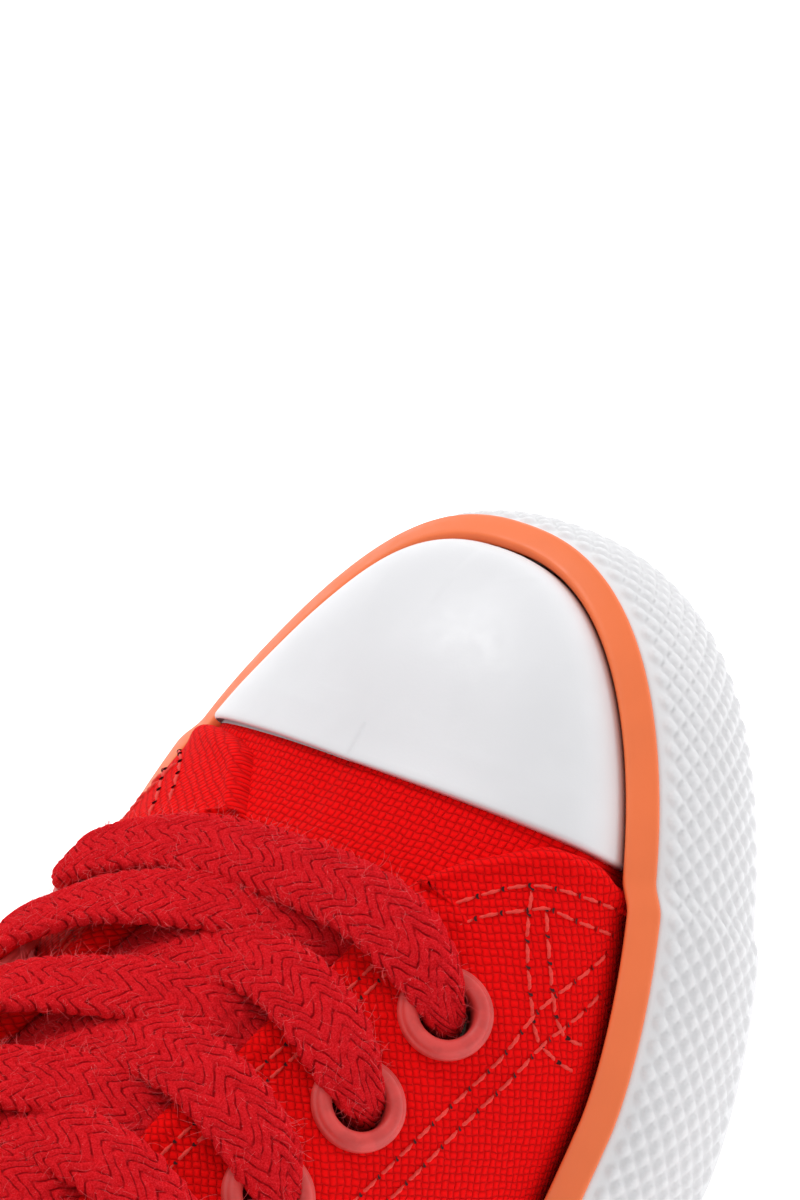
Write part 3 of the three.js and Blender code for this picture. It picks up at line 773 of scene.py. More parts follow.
# %% Vamp
WALL = 1.1
VAMP_REAR = 50.5
VAMP_FOOT = 11.5
stations = np.concatenate([
    np.linspace(5.0, THROAT_FRONT, 90),
    [43.15, 43.4, 43.7, 44.1, 44.6, 45.2, 45.9, 46.8],
    np.linspace(47.4, VAMP_REAR, 12),
])
half_turns = turn_of(stations)
half_turns[0] = 0
columns = np.concatenate([-half_turns[:0:-1], half_turns])
share = np.linspace(0, 1, 56)
top = top_angle(columns)
ang = top[:, None] * share[None, :]
outer = last(columns[:, None], ang, 0.0)
inner = last(columns[:, None], ang[:, ::-1], -WALL + 0.1)
skirt = outer[:, :1].copy()
skirt[..., 2] = VAMP_FOOT + spring(cross_at(columns))[:, None]
skirt_in = inner[:, -1:].copy()
skirt_in[..., 2] = skirt[..., 2]
points = np.concatenate([skirt, outer, inner, skirt_in], 1)
cloth = np.concatenate([outer[:, :1], outer, inner, inner[:, -1:]], 1)[..., :2]
vamp = grid_piece("vamp", points, wrap_cols=True, cloth=cloth)
close_ends(vamp)
finish_piece(vamp, VAMP_CANVAS, "canvas", "upper")

# %% [markdown]
# ## Quarters
# Each quarter is a canvas panel from the toe cap round to the heel. Its edges are folded in, so
# they are thick and round. The panel is a grid from its front edge to the heel. Near the front
# edge the face sinks along a quarter circle, and along the throat and collar it rolls over to
# the inside. Its weave is measured along the rim and up the side, so that threads run true.

# %% The front edge and a map for the weave
QUARTER_FACE = 1.7
FOLD = 1.2
HEM_SWELL = 0.5
FRONT_EDGE = Table(
    "angle right left",
    (0, 34.3, 34.3),
    (8, 33.3, 33.6),
    (24, 33.4, 33.4),
    (34, 34.0, 33.5),
    (47, 36.8, 34.0),
    (54, 38.9, 34.6),
    (60, 42.4, 35.6),
    (66, 46.5, 38.0),
    (72, 50.0, 40.9),
    (80, 54.0, 45.5),
    (90, 60, 52),
)
MAP_TURNS = np.linspace(0, 1, 500)
MAP_ANGLES = np.radians(np.linspace(0, 90, 181))


def cloth_map(sign):
    """Arc length along the side and up it, for every turn and angle."""
    sheet = last(sign * MAP_TURNS[:, None], MAP_ANGLES[None, :], QUARTER_FACE)
    along = arc_lengths(sheet, 0)[:, 40]
    return along, arc_lengths(sheet, 1)


CLOTH_MAPS = {-1: cloth_map(-1), 1: cloth_map(1)}


def cloth_at(sign, u, phi):
    along, up = CLOTH_MAPS[sign]
    i = np.clip(np.abs(u) * (len(MAP_TURNS) - 1), 0, len(MAP_TURNS) - 1.001)
    j = np.clip(phi / MAP_ANGLES[-1] * (len(MAP_ANGLES) - 1), 0, len(MAP_ANGLES) - 1.001)
    i0, j0 = i.astype(int), j.astype(int)
    fi, fj = i - i0, j - j0
    high = (
        up[i0, j0] * (1 - fi) * (1 - fj)
        + up[i0 + 1, j0] * fi * (1 - fj)
        + up[i0, j0 + 1] * (1 - fi) * fj
        + up[i0 + 1, j0 + 1] * fi * fj
    )
    return np.stack([along[i0] * (1 - fi) + along[i0 + 1] * fi, high], -1)


# %% [markdown]
# ## Creases
# Worn canvas is never flat. It waves a little beside the tongue where the foot bends, and each
# lace pulls the edge of its quarter down between two eyelets. Both are gentle sums of waves.

# %% Soft creases
FLEX_DEPTH, PULL_DEPTH = 0.35, 0.5
PULL_FIRST, PULL_PITCH = 61.4, 12.9


def crease(at, side):
    """Gentle hills and hollows where the canvas has been flexed, in millimetres."""
    out_from_mid = np.abs(side)
    flex = FLEX_DEPTH * np.sin((at - 58) * 0.32 + out_from_mid * 0.1)
    flex *= smooth(46, 60, at) * (1 - smooth(92, 108, at)) * smooth(34, 24, out_from_mid)
    from_pull = (at - PULL_FIRST) % PULL_PITCH - PULL_PITCH / 2
    pull = -PULL_DEPTH * np.exp(-((from_pull / 3.2) ** 2)) * smooth(24, 18, out_from_mid)
    return flex + pull * smooth(48, 56, at) * (1 - smooth(104, 112, at))


print("crease beside the second eyelet", round(float(crease(67.9, 20.0)), 2), "mm")

# %% [markdown]
# ## Quarter panels
# A row of the grid starts on the front edge and ends at the heel. The front edge depends on the
# angle and the angle depends on how high the throat is there, so the first column is found by a
# few rounds of going back and forth. The hem, where the edge is turned under, swells a little.

# %% Quarter panels
ROLL_STEPS = 7
QUARTER_FOOT = 19.0


def quarter_panel(sign):
    column = "right" if sign < 0 else "left"
    rows, cols = 330, 76
    lead = 1 - np.cos(np.linspace(0, np.pi / 2, 13)[:-1])
    along = np.concatenate([lead * 0.008, 0.008 + np.linspace(0, 1, rows - 12) * 0.992])
    up = np.linspace(0, 1, cols)
    edge_phi = np.zeros(cols)
    for _ in range(120):
        front = turn_of(FRONT_EDGE.read(column, np.degrees(edge_phi)))[None, :]
        edge_phi = 0.88 * edge_phi + 0.12 * top_angle(sign * front[0]) * up
    u = front + (1 - front) * along[:, None] ** 1.1
    phi = top_angle(sign * u) * up[None, :]
    print(column, "corner at station", round(float(cross_at(front)[0, -1]), 1))
    at = cross_at(u)
    behind = at - cross_at(front)
    sunk = np.clip(behind / FOLD, 0, 1)
    face = QUARTER_FACE - (QUARTER_FACE + 0.2) * (1 - np.sqrt(1 - (1 - sunk) ** 2))
    run = cloth_at(sign, u, phi)
    below = run[:, -1:, 1] - run[..., 1]
    face = face + HEM_SWELL * np.exp(-(((behind - 1.7) / 1.1) ** 2))
    face = face + HEM_SWELL * smooth(0.2, 1.2, behind) * np.exp(-(((below - 1.5) / 1.1) ** 2))
    flat = last(sign * u, phi, 0.0)
    outer = last(sign * u, phi, face + crease(at, flat[..., 0]) * smooth(0, 1, sunk))
    top, under = outer[:, -1], last(sign * u[:, -1:], phi[:, -1:], -WALL)[:, 0]
    middle, across = (top + under) / 2, (top - under) / 2
    rise = top - outer[:, -3]
    rise /= np.maximum(np.linalg.norm(rise, axis=1, keepdims=True), 1e-6)
    radius = np.linalg.norm(across, axis=1, keepdims=True)
    angles = np.pi * np.arange(1, ROLL_STEPS + 1) / (ROLL_STEPS + 1)
    rolled = [middle + across * np.cos(a) + rise * radius * np.sin(a) * 0.8 for a in angles]
    inner = last(sign * u[:, -1:], phi[:, -1:] * np.linspace(1, 0, 24)[None, :], -WALL)
    skirt = outer[:, :1] * [1, 1, 0] + (QUARTER_FOOT + spring(at[:, :1, None])) * [0, 0, 1]
    skirt_in = inner[:, -1:] * [1, 1, 0] + skirt * [0, 0, 1]
    points = np.concatenate([skirt, outer, np.stack(rolled, 1), inner, skirt_in], 1)
    over = np.repeat(run[:, -1:], ROLL_STEPS, 1) + np.arange(1, ROLL_STEPS + 1)[None, :, None] * [0, 0.4]
    down = np.repeat(over[:, -1:], 24, 1) + np.arange(24)[None, :, None] * [0, 1.4]
    cloth = np.concatenate([run[:, :1] - [0, 4], run, over, down, down[:, -1:] + [0, 2]], 1)
    piece = grid_piece("quarter_" + column, points, wrap_cols=True, cloth=cloth)
    piece.data.materials.append(QUARTER_CANVAS)
    piece.data.materials.append(LINING_CLOTH)
    inside = np.zeros((rows - 1, points.shape[1]), int)
    inside[:, cols + ROLL_STEPS + 2:] = 1
    piece.data.polygons.foreach_set("material_index", inside.ravel())
    close_ends(piece)
    finish_piece(piece, QUARTER_CANVAS, "canvas", "upper")
    return piece


QUARTERS = {-1: quarter_panel(-1), 1: quarter_panel(1)}

# %% [markdown]
# ## Heel strip
# A narrow canvas strip covers the seam at the back of the heel. It is a raised band that
# follows the last and is sewn down along both edges.

# %% Heel strip
v = np.linspace(-1, 1, 34)
loop_u = np.where(v < 0, -1, 1) * (1 - np.abs(v) * 0.072)
rise_share = np.linspace(0.02, 0.985, 50)
lift_in = 0.9 * np.sqrt(np.clip(1 - np.abs(v) ** 14, 0, 1))
angles = top_angle(loop_u)[:, None] * rise_share[None, :]
front_face = last(loop_u[:, None], angles, (QUARTER_FACE + lift_in)[:, None])
back_face = last(loop_u[:, None], angles[:, ::-1], QUARTER_FACE - 0.3)
strip = grid_piece("heel_strip", np.concatenate([front_face, back_face], 1), wrap_cols=True)
close_ends(strip)
finish_piece(strip, QUARTER_CANVAS, "canvas", "upper")

# %% [markdown]
# ## Tongue
# The tongue is a soft pad of canvas under the laces. Its edges are sewn flat, so its thickness
# falls away towards them, and its end is rounded.

# %% Tongue
TONGUE = Table(
    "at half",
    (36, 15),
    (44, 20),
    (60, 23.5),
    (85, 24.5),
    (107, 23.6),
    (116, 21.4),
    (121, 18.8),
    (124.6, 14.6),
    (126.4, 9.8),
    (127.1, 5),
)
TONGUE_FACE, TONGUE_BACK, TONGUE_SINK = -2.3, -5.3, 0.9
round_end = 118 + 9.1 * np.sin(np.linspace(0.03, 1, 30) * np.pi / 2)
stations = np.concatenate([np.linspace(36, 118, 150), round_end])
across = np.linspace(-1, 1, 61)
pad = 1 - np.abs(across) ** 6
ends = 1 - smooth(120, 128, stations) ** 2
depth = (TONGUE_FACE - TONGUE_BACK) / 2
centre = (TONGUE_FACE + TONGUE_BACK) / 2 - TONGUE_SINK * smooth(97, 111, stations)
sides = across[None, :] * TONGUE.read("half", stations)[:, None]
half_thick = depth * (0.45 + 0.55 * pad[None, :]) * (0.4 + 0.6 * ends[:, None])
face = side_point(stations[:, None], sides, centre[:, None] + half_thick)
back = side_point(stations[:, None], sides, centre[:, None] - half_thick)
points = np.concatenate([face, back[:, ::-1]], 1)
tongue = grid_piece("tongue_pad", points, wrap_cols=True)
close_ends(tongue)
# The tongue's darker red is painted shade from the laces above it.
finish_piece(tongue, TONGUE_CANVAS_SHADED, "tongue_canvas", "tongue")

# %% [markdown]
# ## Insole
# A cloth-covered foam insole fills the bottom of the shoe. Its rim curls up a little.

# %% Insole
levels = [(-7.4, 11.6), (-6.8, 12.2), (-6.7, 13.6), (-6.9, 14.3), (-7.6, 14.6)]
turns, lengths, loop = loop_turns(240)
rim = [ring_points(turns, np.full((240, 1), o - jog(100)), np.full((240, 1), z)) for o, z in levels]
fill = []
for share in np.linspace(0.06, 1, 14):
    ring = rim[-1].copy()
    at = ring[..., 1]
    middle = PLAN.read("mid", np.clip(at, 30, 178))
    target = np.stack([middle, 30 + (at - at.min()) / np.ptp(at) * 148, 0 * at + 14.3], -1)
    pull = ring * (1 - share) + target * share
    pull[..., 2] = 14.6 - 0.9 * np.sin(np.pi * min(share, 0.5)) + spring(pull[..., 1])
    fill.append(pull)
layers = np.concatenate(rim + fill, 1)
insole = grid_piece("insole_pad", layers, wrap_rows=True, cloth=layers[..., :2])
tidy(insole, 0.02)
finish_piece(insole, INSOLE_CLOTH, "insole_cloth", "insole")

# %% [markdown]
# ## Outsole
# The outsole is a plate of rubber that rises in the arch. Its outline is the welt line moved
# inward, and rings that shrink onto the mid line close its two faces.

# %% Outsole
PLATE_OUT, PLATE_UNDER, PLATE_TOP = -3.5, 2.4, 11.0
turns, lengths, loop = loop_turns(300)


def plate_ring(out, z):
    base = beside(turns, out + jog(welt(turns)[..., 1]) * 0.8)
    height = z + spring(base[:, 1]) + (arch(base[:, 1]) if z < 5 else 0)
    return np.stack([base[:, 0], base[:, 1], height], -1)[:, None]


def to_middle(ring, count):
    """Rings that shrink a closed outline onto the mid line."""
    rings = []
    for share in np.linspace(0, 1, count + 1)[1:]:
        x = ring[..., 0]
        at = ring[..., 1]
        mid = PLAN.read("mid", at)
        new = ring.copy()
        new[..., 0] = x + (mid - x) * share
        rings.append(new)
    return rings


bottom = plate_ring(PLATE_OUT - 0.5, PLATE_UNDER)
wall_rings = [plate_ring(PLATE_OUT, PLATE_UNDER + 0.5), plate_ring(PLATE_OUT, PLATE_TOP)]
top_ring = plate_ring(PLATE_OUT - 0.3, PLATE_TOP)
points = np.concatenate(
    to_middle(bottom, 12)[::-1] + [bottom] + wall_rings + [top_ring] + to_middle(top_ring, 6), 1
)
plate = grid_piece("outsole_plate", points, wrap_rows=True)
tidy(plate, 0.02)
finish_piece(plate, SOLE_RUBBER, "outsole_rubber", "outsole")

# %% [markdown]
# ## Tread lugs
# A lug is a short bar across the sole, bent to a chevron, with its edges bevelled so that it
# leaves the mould. One loop places them under the ball and the heel.

# %% Tread lugs
LUG_ROWS = ((12, 10), (143, 5))
LUG_PITCH, LUG_LENGTH, LUG_POINT, LUG_INSET = 9.4, 6.4, 4.0, 6.0
lug_points, lug_faces = [], []
for first, count in LUG_ROWS:
    for i in range(count):
        front = first + i * LUG_PITCH
        w = np.linspace(-1, 1, 25)
        bevel = [(0.0, 0.6, PLATE_UNDER + 0.3), (0.0, 0.9, 0.35), (0.35, 1.3, 0.0)]
        profile = [(a, z) for a, _, z in bevel] + [(LUG_LENGTH - a, z) for a, _, z in bevel[::-1]]
        start = len(lug_points)
        for wi in w:
            for offset, z in profile:
                at = front + offset - LUG_POINT * (1 - abs(wi))
                half = float(half_at(at + LUG_POINT, wi)) - LUG_INSET
                x = float(PLAN.read("mid", at)) + wi * half
                z = z + float(spring(at)) + (float(arch(at)) if z > 2 else 0)
                lug_points.append((x, at, z))
        for a in range(len(w) - 1):
            for b in range(5):
                q = start + a * 6 + b
                lug_faces.append((q, q + 6, q + 7, q + 1))
        lug_faces.append(tuple(start + b for b in range(6)))
        lug_faces.append(tuple(start + (len(w) - 1) * 6 + b for b in reversed(range(6))))
lugs = make_mesh("outsole_lugs", lug_points, lug_faces, smooth_faces=False)
tidy(lugs, 0.001)
finish_piece(lugs, SOLE_RUBBER, "outsole_rubber", "outsole")

# %% [markdown]
# ## Eyelets
# Each eyelet is a moulded ring with a low outer flange, a round bead inside it and a barrel that
# goes down through the canvas. It is a profile turned about the local normal of the upper.

# %% Eyelets
EYELET_FIRST, EYELET_PITCH = 55.0, 12.9
EYELET_SIDE = {-1: (27, 26.3, 25.8, 25.2, 24.6), 1: (21.6, 22.4, 23.2, 24, 24.6)}
RING = (
    (3.1, -3.1), (3.45, -3.1), (3.5, -1.4), (3.6, -0.1), (5.22, -0.1), (5.3, 0.1), (5.3, 0.5),
    (5.22, 0.72), (5.08, 0.84), (4.94, 0.9), (4.86, 1.08), (4.7, 1.34), (4.45, 1.5), (4.1, 1.56),
    (3.75, 1.5), (3.45, 1.36), (3.22, 1.12), (3.1, 0.8),
)
RING_STEPS = 72
SPOTS = {}


def surface_turn(at, side, out):
    """A matrix standing on the last at that place, in shoe millimetres."""
    spot = Vector(side_point(at, side, out))
    normal = Vector(side_normal(at, side, out))
    basis = Vector((0, 0, 1)).rotation_difference(normal).to_matrix().to_4x4()
    return Matrix.Translation(spot) @ basis


for sign, sides in EYELET_SIDE.items():
    for i, side in enumerate(sides):
        name = ("eyelet_right_" if sign < 0 else "eyelet_left_") + str(i + 1)
        place = surface_turn(EYELET_FIRST + i * EYELET_PITCH, sign * side, QUARTER_FACE + 0.35)
        SPOTS[sign, i] = place
        angle = np.linspace(0, 2 * np.pi, RING_STEPS, endpoint=False)
        profile = np.array(RING)
        local = np.stack([
            profile[None, :, 0] * np.cos(angle)[:, None],
            profile[None, :, 0] * np.sin(angle)[:, None],
            np.broadcast_to(profile[None, :, 1], (RING_STEPS, len(RING))),
        ], -1)
        world_points = local @ np.array(place.to_3x3()).T + np.array(place.translation)
        ring = grid_piece(name + "_ring", world_points, True, True)
        tidy(ring, 0.001)
        finish_piece(ring, EYELET_PLASTIC, "eyelet", name)

# %% [markdown]
# ## Eyelet holes
# The lace goes through the canvas, so each quarter is really punched. A drill made of plain
# tubes is taken away from the panel by an exact boolean and then deleted.

# %% Punch the quarters
PUNCH = 3.75


def punch(piece, places):
    points, faces = [], []
    sides = 40
    for place in places:
        start = len(points)
        for z in (-6, 4):
            for k in range(sides):
                a = 2 * math.pi * k / sides
                points.append(place @ Vector((PUNCH * math.cos(a), PUNCH * math.sin(a), z)))
        for k in range(sides):
            n = (k + 1) % sides
            faces.append((start + k, start + n, start + sides + n, start + sides + k))
        faces.append(tuple(start + k for k in reversed(range(sides))))
        faces.append(tuple(start + sides + k for k in range(sides)))
    drill = make_mesh("drill", points, faces, smooth_faces=False)
    cut = piece.modifiers.new("punch", "BOOLEAN")
    cut.operation, cut.solver, cut.object = "DIFFERENCE", "EXACT", drill
    bpy.context.view_layer.objects.active = piece
    with bpy.context.temp_override(object=piece):
        bpy.ops.object.modifier_apply(modifier=cut.name)
    bpy.data.objects.remove(drill)
    print(piece.name, "punched,", len(piece.data.polygons), "faces")


for sign, panel in QUARTERS.items():
    punch(panel, [SPOTS[sign, i] for i in range(5)])

# %% [markdown]
# ## Stitches
# Every seam is a row of small twisted threads between needle holes. Rows are given as places on
# the last, by station and angle, and each stitch is a short rope sunk at both ends.

# %% Stitch rows
STITCH, STITCH_GAP, THREAD = 2.9, 0.5, 0.21


def surface_row(sign, rows, out):
    """A fine polyline on the last through (station, angle) rows."""
    rows = np.array(rows, float)
    reach = arc_lengths(rows * [1, 0.6], 0)
    t = np.linspace(0, reach[-1], 400)
    table = Table("t at angle", *np.column_stack([reach, rows]))
    at, angle = table.read("at", t), np.radians(table.read("angle", t))
    u = sign * turn_of(at)
    flat = last(u, angle, 0.0)
    line = last(u, angle, out + crease(at, flat[..., 0]))
    above = last(u, angle, out + 1 + crease(at, flat[..., 0]))
    return line, above - line


def stitch_row(line, up, thread, pitch=STITCH):
    length = arc_lengths(line, 0)
    points, faces, holes, hole_faces = [], [], [], []
    sides, steps = 7, 12
    place = lambda s, data: np.stack([np.interp(s, length, data[:, k]) for k in range(3)], -1)
    for k in range(int(length[-1] / pitch)):
        s0, s1 = k * pitch + STITCH_GAP / 2, (k + 1) * pitch - STITCH_GAP / 2
        s = np.linspace(s0, s1, steps)
        centre, lift = place(s, line), place(s, up)
        lift /= np.linalg.norm(lift, axis=1, keepdims=True)
        arc_ = np.sin(np.linspace(0, np.pi, steps))
        centre = centre + lift * ((arc_**0.6) * 0.34 - 0.22)[:, None] * thread / THREAD
        along = np.gradient(centre, axis=0)
        along /= np.linalg.norm(along, axis=1, keepdims=True)
        wide = np.cross(along, lift)
        start = len(points)
        for j in range(steps):
            for m in range(sides):
                a = 2 * np.pi * m / sides
                ply = 1 + 0.22 * math.cos(2 * a - j * 1.3)
                r = thread * ply * (0.55 + 0.45 * arc_[j] ** 0.5)
                points.append(centre[j] + (wide[j] * math.cos(a) + lift[j] * math.sin(a)) * r)
        for j in range(steps - 1):
            for m in range(sides):
                n = (m + 1) % sides
                q = start + j * sides
                faces.append((q + m, q + n, q + sides + n, q + sides + m))
        faces.append(tuple(start + m for m in reversed(range(sides))))
        faces.append(tuple(start + (steps - 1) * sides + m for m in range(sides)))
        spot, lift0 = place(np.array([k * pitch]), line)[0], place(np.array([k * pitch]), up)[0]
        lift0 /= np.linalg.norm(lift0)
        along0 = along[0]
        wide0 = np.cross(along0, lift0)
        # A dark disc at each needle hole: painted shade for the inside of the hole.
        base = len(holes)
        holes.append(spot + lift0 * 0.02)
        for m in range(8):
            a = 2 * np.pi * m / 8
            rim_way = along0 * math.cos(a) * 1.25 + wide0 * math.sin(a)
            holes.append(spot + lift0 * 0.07 + rim_way * 0.36 * thread / THREAD)
        for m in range(8):
            hole_faces.append((base, base + 1 + m, base + 1 + (m + 1) % 8))
    return points, faces, holes, hole_faces


SEAMS = {
    "toe_a": ((37.3, 0), (37.6, 13.5), (38.1, 27), (38.8, 34.5), (40.4, 41.5), (42.9, 48), (44.8, 51.7)),
    "toe_b": ((40, 0), (40.4, 19), (40.4, 27.5), (41.2, 32), (43.6, 41.7), (46.2, 47), (48.6, 49.5)),
    "fan_a": ((39, 34), (44, 30.5), (50, 24), (53.6, 19), (54.9, 12), (55.2, 3.6)),
    "fan_b": ((40.5, 28), (45.9, 22), (50.3, 16.6), (51.9, 13), (52.3, 8.6), (52, 2.5)),
    "facing_a": ((42, 1.6), (47.2, 15), (51.2, 21.4), (57.2, 24.8), (61.3, 26.8), (69.7, 29.8),
                 (77.1, 31.6), (90, 33.5), (104, 34.5), (112, 35)),
    "facing_b": ((46.2, 1.8), (52.6, 15), (55.6, 18.5), (62.9, 22.8), (72.8, 26.2), (82, 28.2), (94, 30),
                 (106, 31), (113, 31.5)),
}


def edge_row(sign, inset, start, end):
    """A row beside the throat and collar edge, inset millimetres below it."""
    at = np.linspace(start, end, 60)
    top = top_angle(sign * turn_of(at))
    up = CLOTH_MAPS[sign][1]
    rows = []
    for a, t in zip(at, top):
        i = int(round(float(turn_of(a)) * (len(MAP_TURNS) - 1)))
        t = np.interp(np.interp(t, MAP_ANGLES, up[i]) - inset, up[i], MAP_ANGLES)
        rows.append((a, math.degrees(t)))
    return rows


thread_parts, hole_parts = [], []


def sew(sign, rows, out=QUARTER_FACE, thread=THREAD):
    line, up = surface_row(sign, rows, out)
    points, faces, holes, hole_faces = stitch_row(line, up, thread)
    thread_parts.append((points, faces))
    hole_parts.append((holes, hole_faces))


for sign in (-1, 1):
    for rows in SEAMS.values():
        sew(sign, rows)
    sew(sign, edge_row(sign, 3.0, 50, 104))
    sew(sign, edge_row(sign, 4.8, 52, 104))
    sew(sign, edge_row(sign, 2.6, 112, 200))
    strip_top = math.degrees(float(top_angle(sign * turn_of(199.2))))
    sew(sign, [(199.0, 4), (199.2, strip_top * 0.6), (199.4, strip_top * 0.92)], QUARTER_FACE + 0.9)


def joined(name, parts, material):
    points, faces = [], []
    for part_points, part_faces in parts:
        base = len(points)
        points.extend(part_points)
        faces.extend(tuple(base + i for i in f) for f in part_faces)
    piece = make_mesh(name, points, faces)
    finish_piece(piece, material, "canvas", "upper")


joined("stitching", thread_parts, STITCH_THREAD)
# The dark discs are painted shade where the needle holes are.
joined("needle_holes", hole_parts, NEEDLE_HOLE_SHADE)

# %% [markdown]
# ## The lace
# The lace is one flat woolly braid. It starts as a bar over the first pair of eyelets. Then each
# run comes up from under one edge of the throat, crosses the tongue, and dives into the next
# eyelet on the other side. Rows give station, distance across, height over the last, and how far
# the braid is narrowed where it bunches into an eyelet.

# %% Lace routes
LACE_HALF, LACE_THICK = 4.4, 1.2
BAR = (
    (0.4, -26.4, -2.8, 0.4, 1.7),
    (0.4, -26.1, 0.2, 0.46, 1.7),
    (0.2, -25.4, 2.2, 0.56, 1.6),
    (-1.5, -23.6, 3.8, 0.8, 1.25),
    (-3.6, -20.6, 4.8, 0.97, 1),
    (-5.2, -17, 4.8, 1, 1),
    (-6, -12.3, 4.4, 1, 1),
    (-6.1, -6.4, 4.2, 1, 1),
    (-5.9, 0.6, 4, 1, 1),
    (-5, 7, 4, 1, 1),
    (-3.2, 12, 4.4, 1, 1),
    (-0.8, 16.4, 4.9, 1, 1),
    (0.8, 20, 4.6, 0.92, 1.2),
    (0.9, 22, 2.4, 0.66, 1.6),
    (0.2, 22.2, -2.6, 0.42, 1.7),
)
TO_LEFT = (
    (-0.6, -22, -1.9, 0.8, 0.5),
    (-2.2, -17.6, -1.7, 0.9, 0.5),
    (-2.6, -14.2, -0.6, 0.95, 0.7),
    (-2.3, -10.8, 0.9, 1, 1),
    (-2.0, -7, 1.8, 1, 1),
    (-0.9, -2.5, 2.8, 1, 1),
    (0.7, 0.9, 3.4, 1, 1),
    (2.4, 4.4, 4, 1, 1),
    (5.2, 9.6, 4.8, 1, 1),
    (8.6, 14.6, 4.9, 0.97, 1),
    (11.2, 18.4, 4.8, 0.97, 1.1),
    (12.8, 21.2, 3.8, 0.84, 1.4),
    (13.1, 22.8, 1.2, 0.6, 1.6),
    (13, 22.8, -2.6, 0.42, 1.7),
)
TO_RIGHT = (
    (6.5, 16, -1.9, 0.8, 0.5),
    (6, 11, -1.7, 0.9, 0.5),
    (5.2, 6.2, -0.8, 0.95, 0.7),
    (4.3, 0, 0.6, 1, 1),
    (4.1, -5.6, 1.9, 1, 1),
    (4.4, -9.6, 3, 1, 1),
    (5.6, -14, 4.2, 1, 1),
    (8.2, -18.8, 4.7, 1, 1),
    (10.8, -22.2, 4.1, 0.9, 1.1),
    (12.5, -24.4, 2.6, 0.62, 1.5),
    (12.9, -25.4, 0.2, 0.46, 1.7),
    (13.1, -25.8, -2.8, 0.4, 1.7),
)


def spline(rows, count):
    """A smooth curve through rows, evenly spaced by the first two columns and height."""
    rows = np.array(rows, float)
    padded = np.vstack([2 * rows[0] - rows[1], rows, 2 * rows[-1] - rows[-2]])
    out = []
    for i in range(len(rows) - 1):
        a, b, c, d = padded[i:i + 4]
        s = np.linspace(0, 1, 60, endpoint=False)[:, None]
        bend, twist = 2 * a - 5 * b + 4 * c - d, 3 * b - a - 3 * c + d
        out.append(0.5 * (2 * b + (c - a) * s + bend * s**2 + twist * s**3))
    out = np.vstack(out + [rows[-1:]])
    length = arc_lengths(out[:, :3], 0)
    even = np.linspace(0, length[-1], count)
    return np.stack([np.interp(even, length, out[:, k]) for k in range(out.shape[1])], -1), length[-1]


def smoothed(data, width):
    kernel = np.hanning(width)
    kernel /= kernel.sum()
    padded = np.concatenate([np.repeat(data[:1], width, 0), data, np.repeat(data[-1:], width, 0)])
    return np.stack([np.convolve(padded[:, k], kernel, "same") for k in range(3)], -1)[width:-width]


rng = np.random.default_rng(7)
STEP = 0.28
SLANT, COLUMN = math.radians(33), 2.35
HAIRS = []


def lace_run(name, rows, first, sway=0.0):
    rows = [(EYELET_FIRST + first * EYELET_PITCH + r[0],) + tuple(r[1:]) for r in rows]
    _, length = spline(rows, 50)
    count = int(length / STEP)
    path, length = spline(rows, count)
    side = path[:, 1] - PLAN.read("mid", path[:, 0])
    base = side_point(path[:, 0], side, 0.0)
    normal = side_normal(path[:, 0], side, 0.0)
    normal[normal[:, 2] < 0] *= -1
    normal = smoothed(normal, 41)
    normal /= np.linalg.norm(normal, axis=1, keepdims=True)
    centre = smoothed(base + normal * path[:, 2:3], 9)
    along = np.gradient(centre, axis=0)
    s = arc_lengths(centre, 0)
    along /= np.linalg.norm(along, axis=1, keepdims=True)
    flat = along - normal * np.sum(along * normal, axis=1, keepdims=True)
    flat = smoothed(flat, 25)
    wide = np.cross(flat, normal)
    wide /= np.linalg.norm(wide, axis=1, keepdims=True)
    tilt = sway * np.sin(s / length * np.pi * 2)
    up = np.cross(wide, along)
    up /= np.linalg.norm(up, axis=1, keepdims=True)
    cos_tilt, sin_tilt = np.cos(tilt)[:, None], np.sin(tilt)[:, None]
    wide, up = wide * cos_tilt + up * sin_tilt, up * cos_tilt - wide * sin_tilt
    cols = 36
    a = np.linspace(0, 2 * np.pi, 2 * cols, endpoint=False)
    cw = np.sign(np.cos(a)) * np.abs(np.cos(a)) ** 0.7
    ch = np.sign(np.sin(a)) * np.abs(np.sin(a)) ** 0.72
    narrow, thick = path[:, 3:4], path[:, 4:5]
    w = LACE_HALF * cw[None, :]
    drift = s[:, None] + first * 5.3
    stretch = s[:, None] + 0.6 * np.sin(drift * 0.21) + 0.28 * np.sin(w * 1.1 + drift * 0.63)
    stretch = stretch + 0.16 * np.sin(w * 2.3 - drift * 1.31 + 1.7)
    fold = np.abs((w / COLUMN + 100.5) % 2 - 1) * COLUMN
    turnover = np.abs((w / COLUMN + 100.5) % 1 - 0.5) * 2
    q = (stretch * math.sin(SLANT) + fold * math.cos(SLANT)) / PLAIT
    strand = np.abs(np.sin(np.pi * q)) ** 0.75
    wobble = 0.8 + 0.2 * np.sin(s[:, None] * 0.9 + w * 0.8 + first * 2.1)
    relief = 0.5 * (strand - 0.6) * wobble - 0.2 * turnover**5
    scallop = 0.035 * np.sin(s[:, None] * 2 * np.pi / 3.1) * np.abs(cw[None, :]) ** 8
    hw = LACE_HALF * narrow * cw[None, :] * (1 + scallop)
    crown = LACE_THICK * thick * ch[None, :]
    out = crown + relief * ch[None, :]
    hw = hw + relief * 0.6 * cw[None, :] * np.abs(cw[None, :]) ** 6
    points = centre[:, None] + wide[:, None] * hw[..., None] + up[:, None] * out[..., None]
    r = stretch * math.cos(SLANT) - fold * math.sin(SLANT)
    cloth = np.stack([q * PLAIT, r], -1)
    piece = grid_piece(name, points, wrap_cols=True, cloth=cloth)
    close_ends(piece)
    finish_piece(piece, LACE_WOOL, "lace", "laces")
    return points, a, up, wide, along


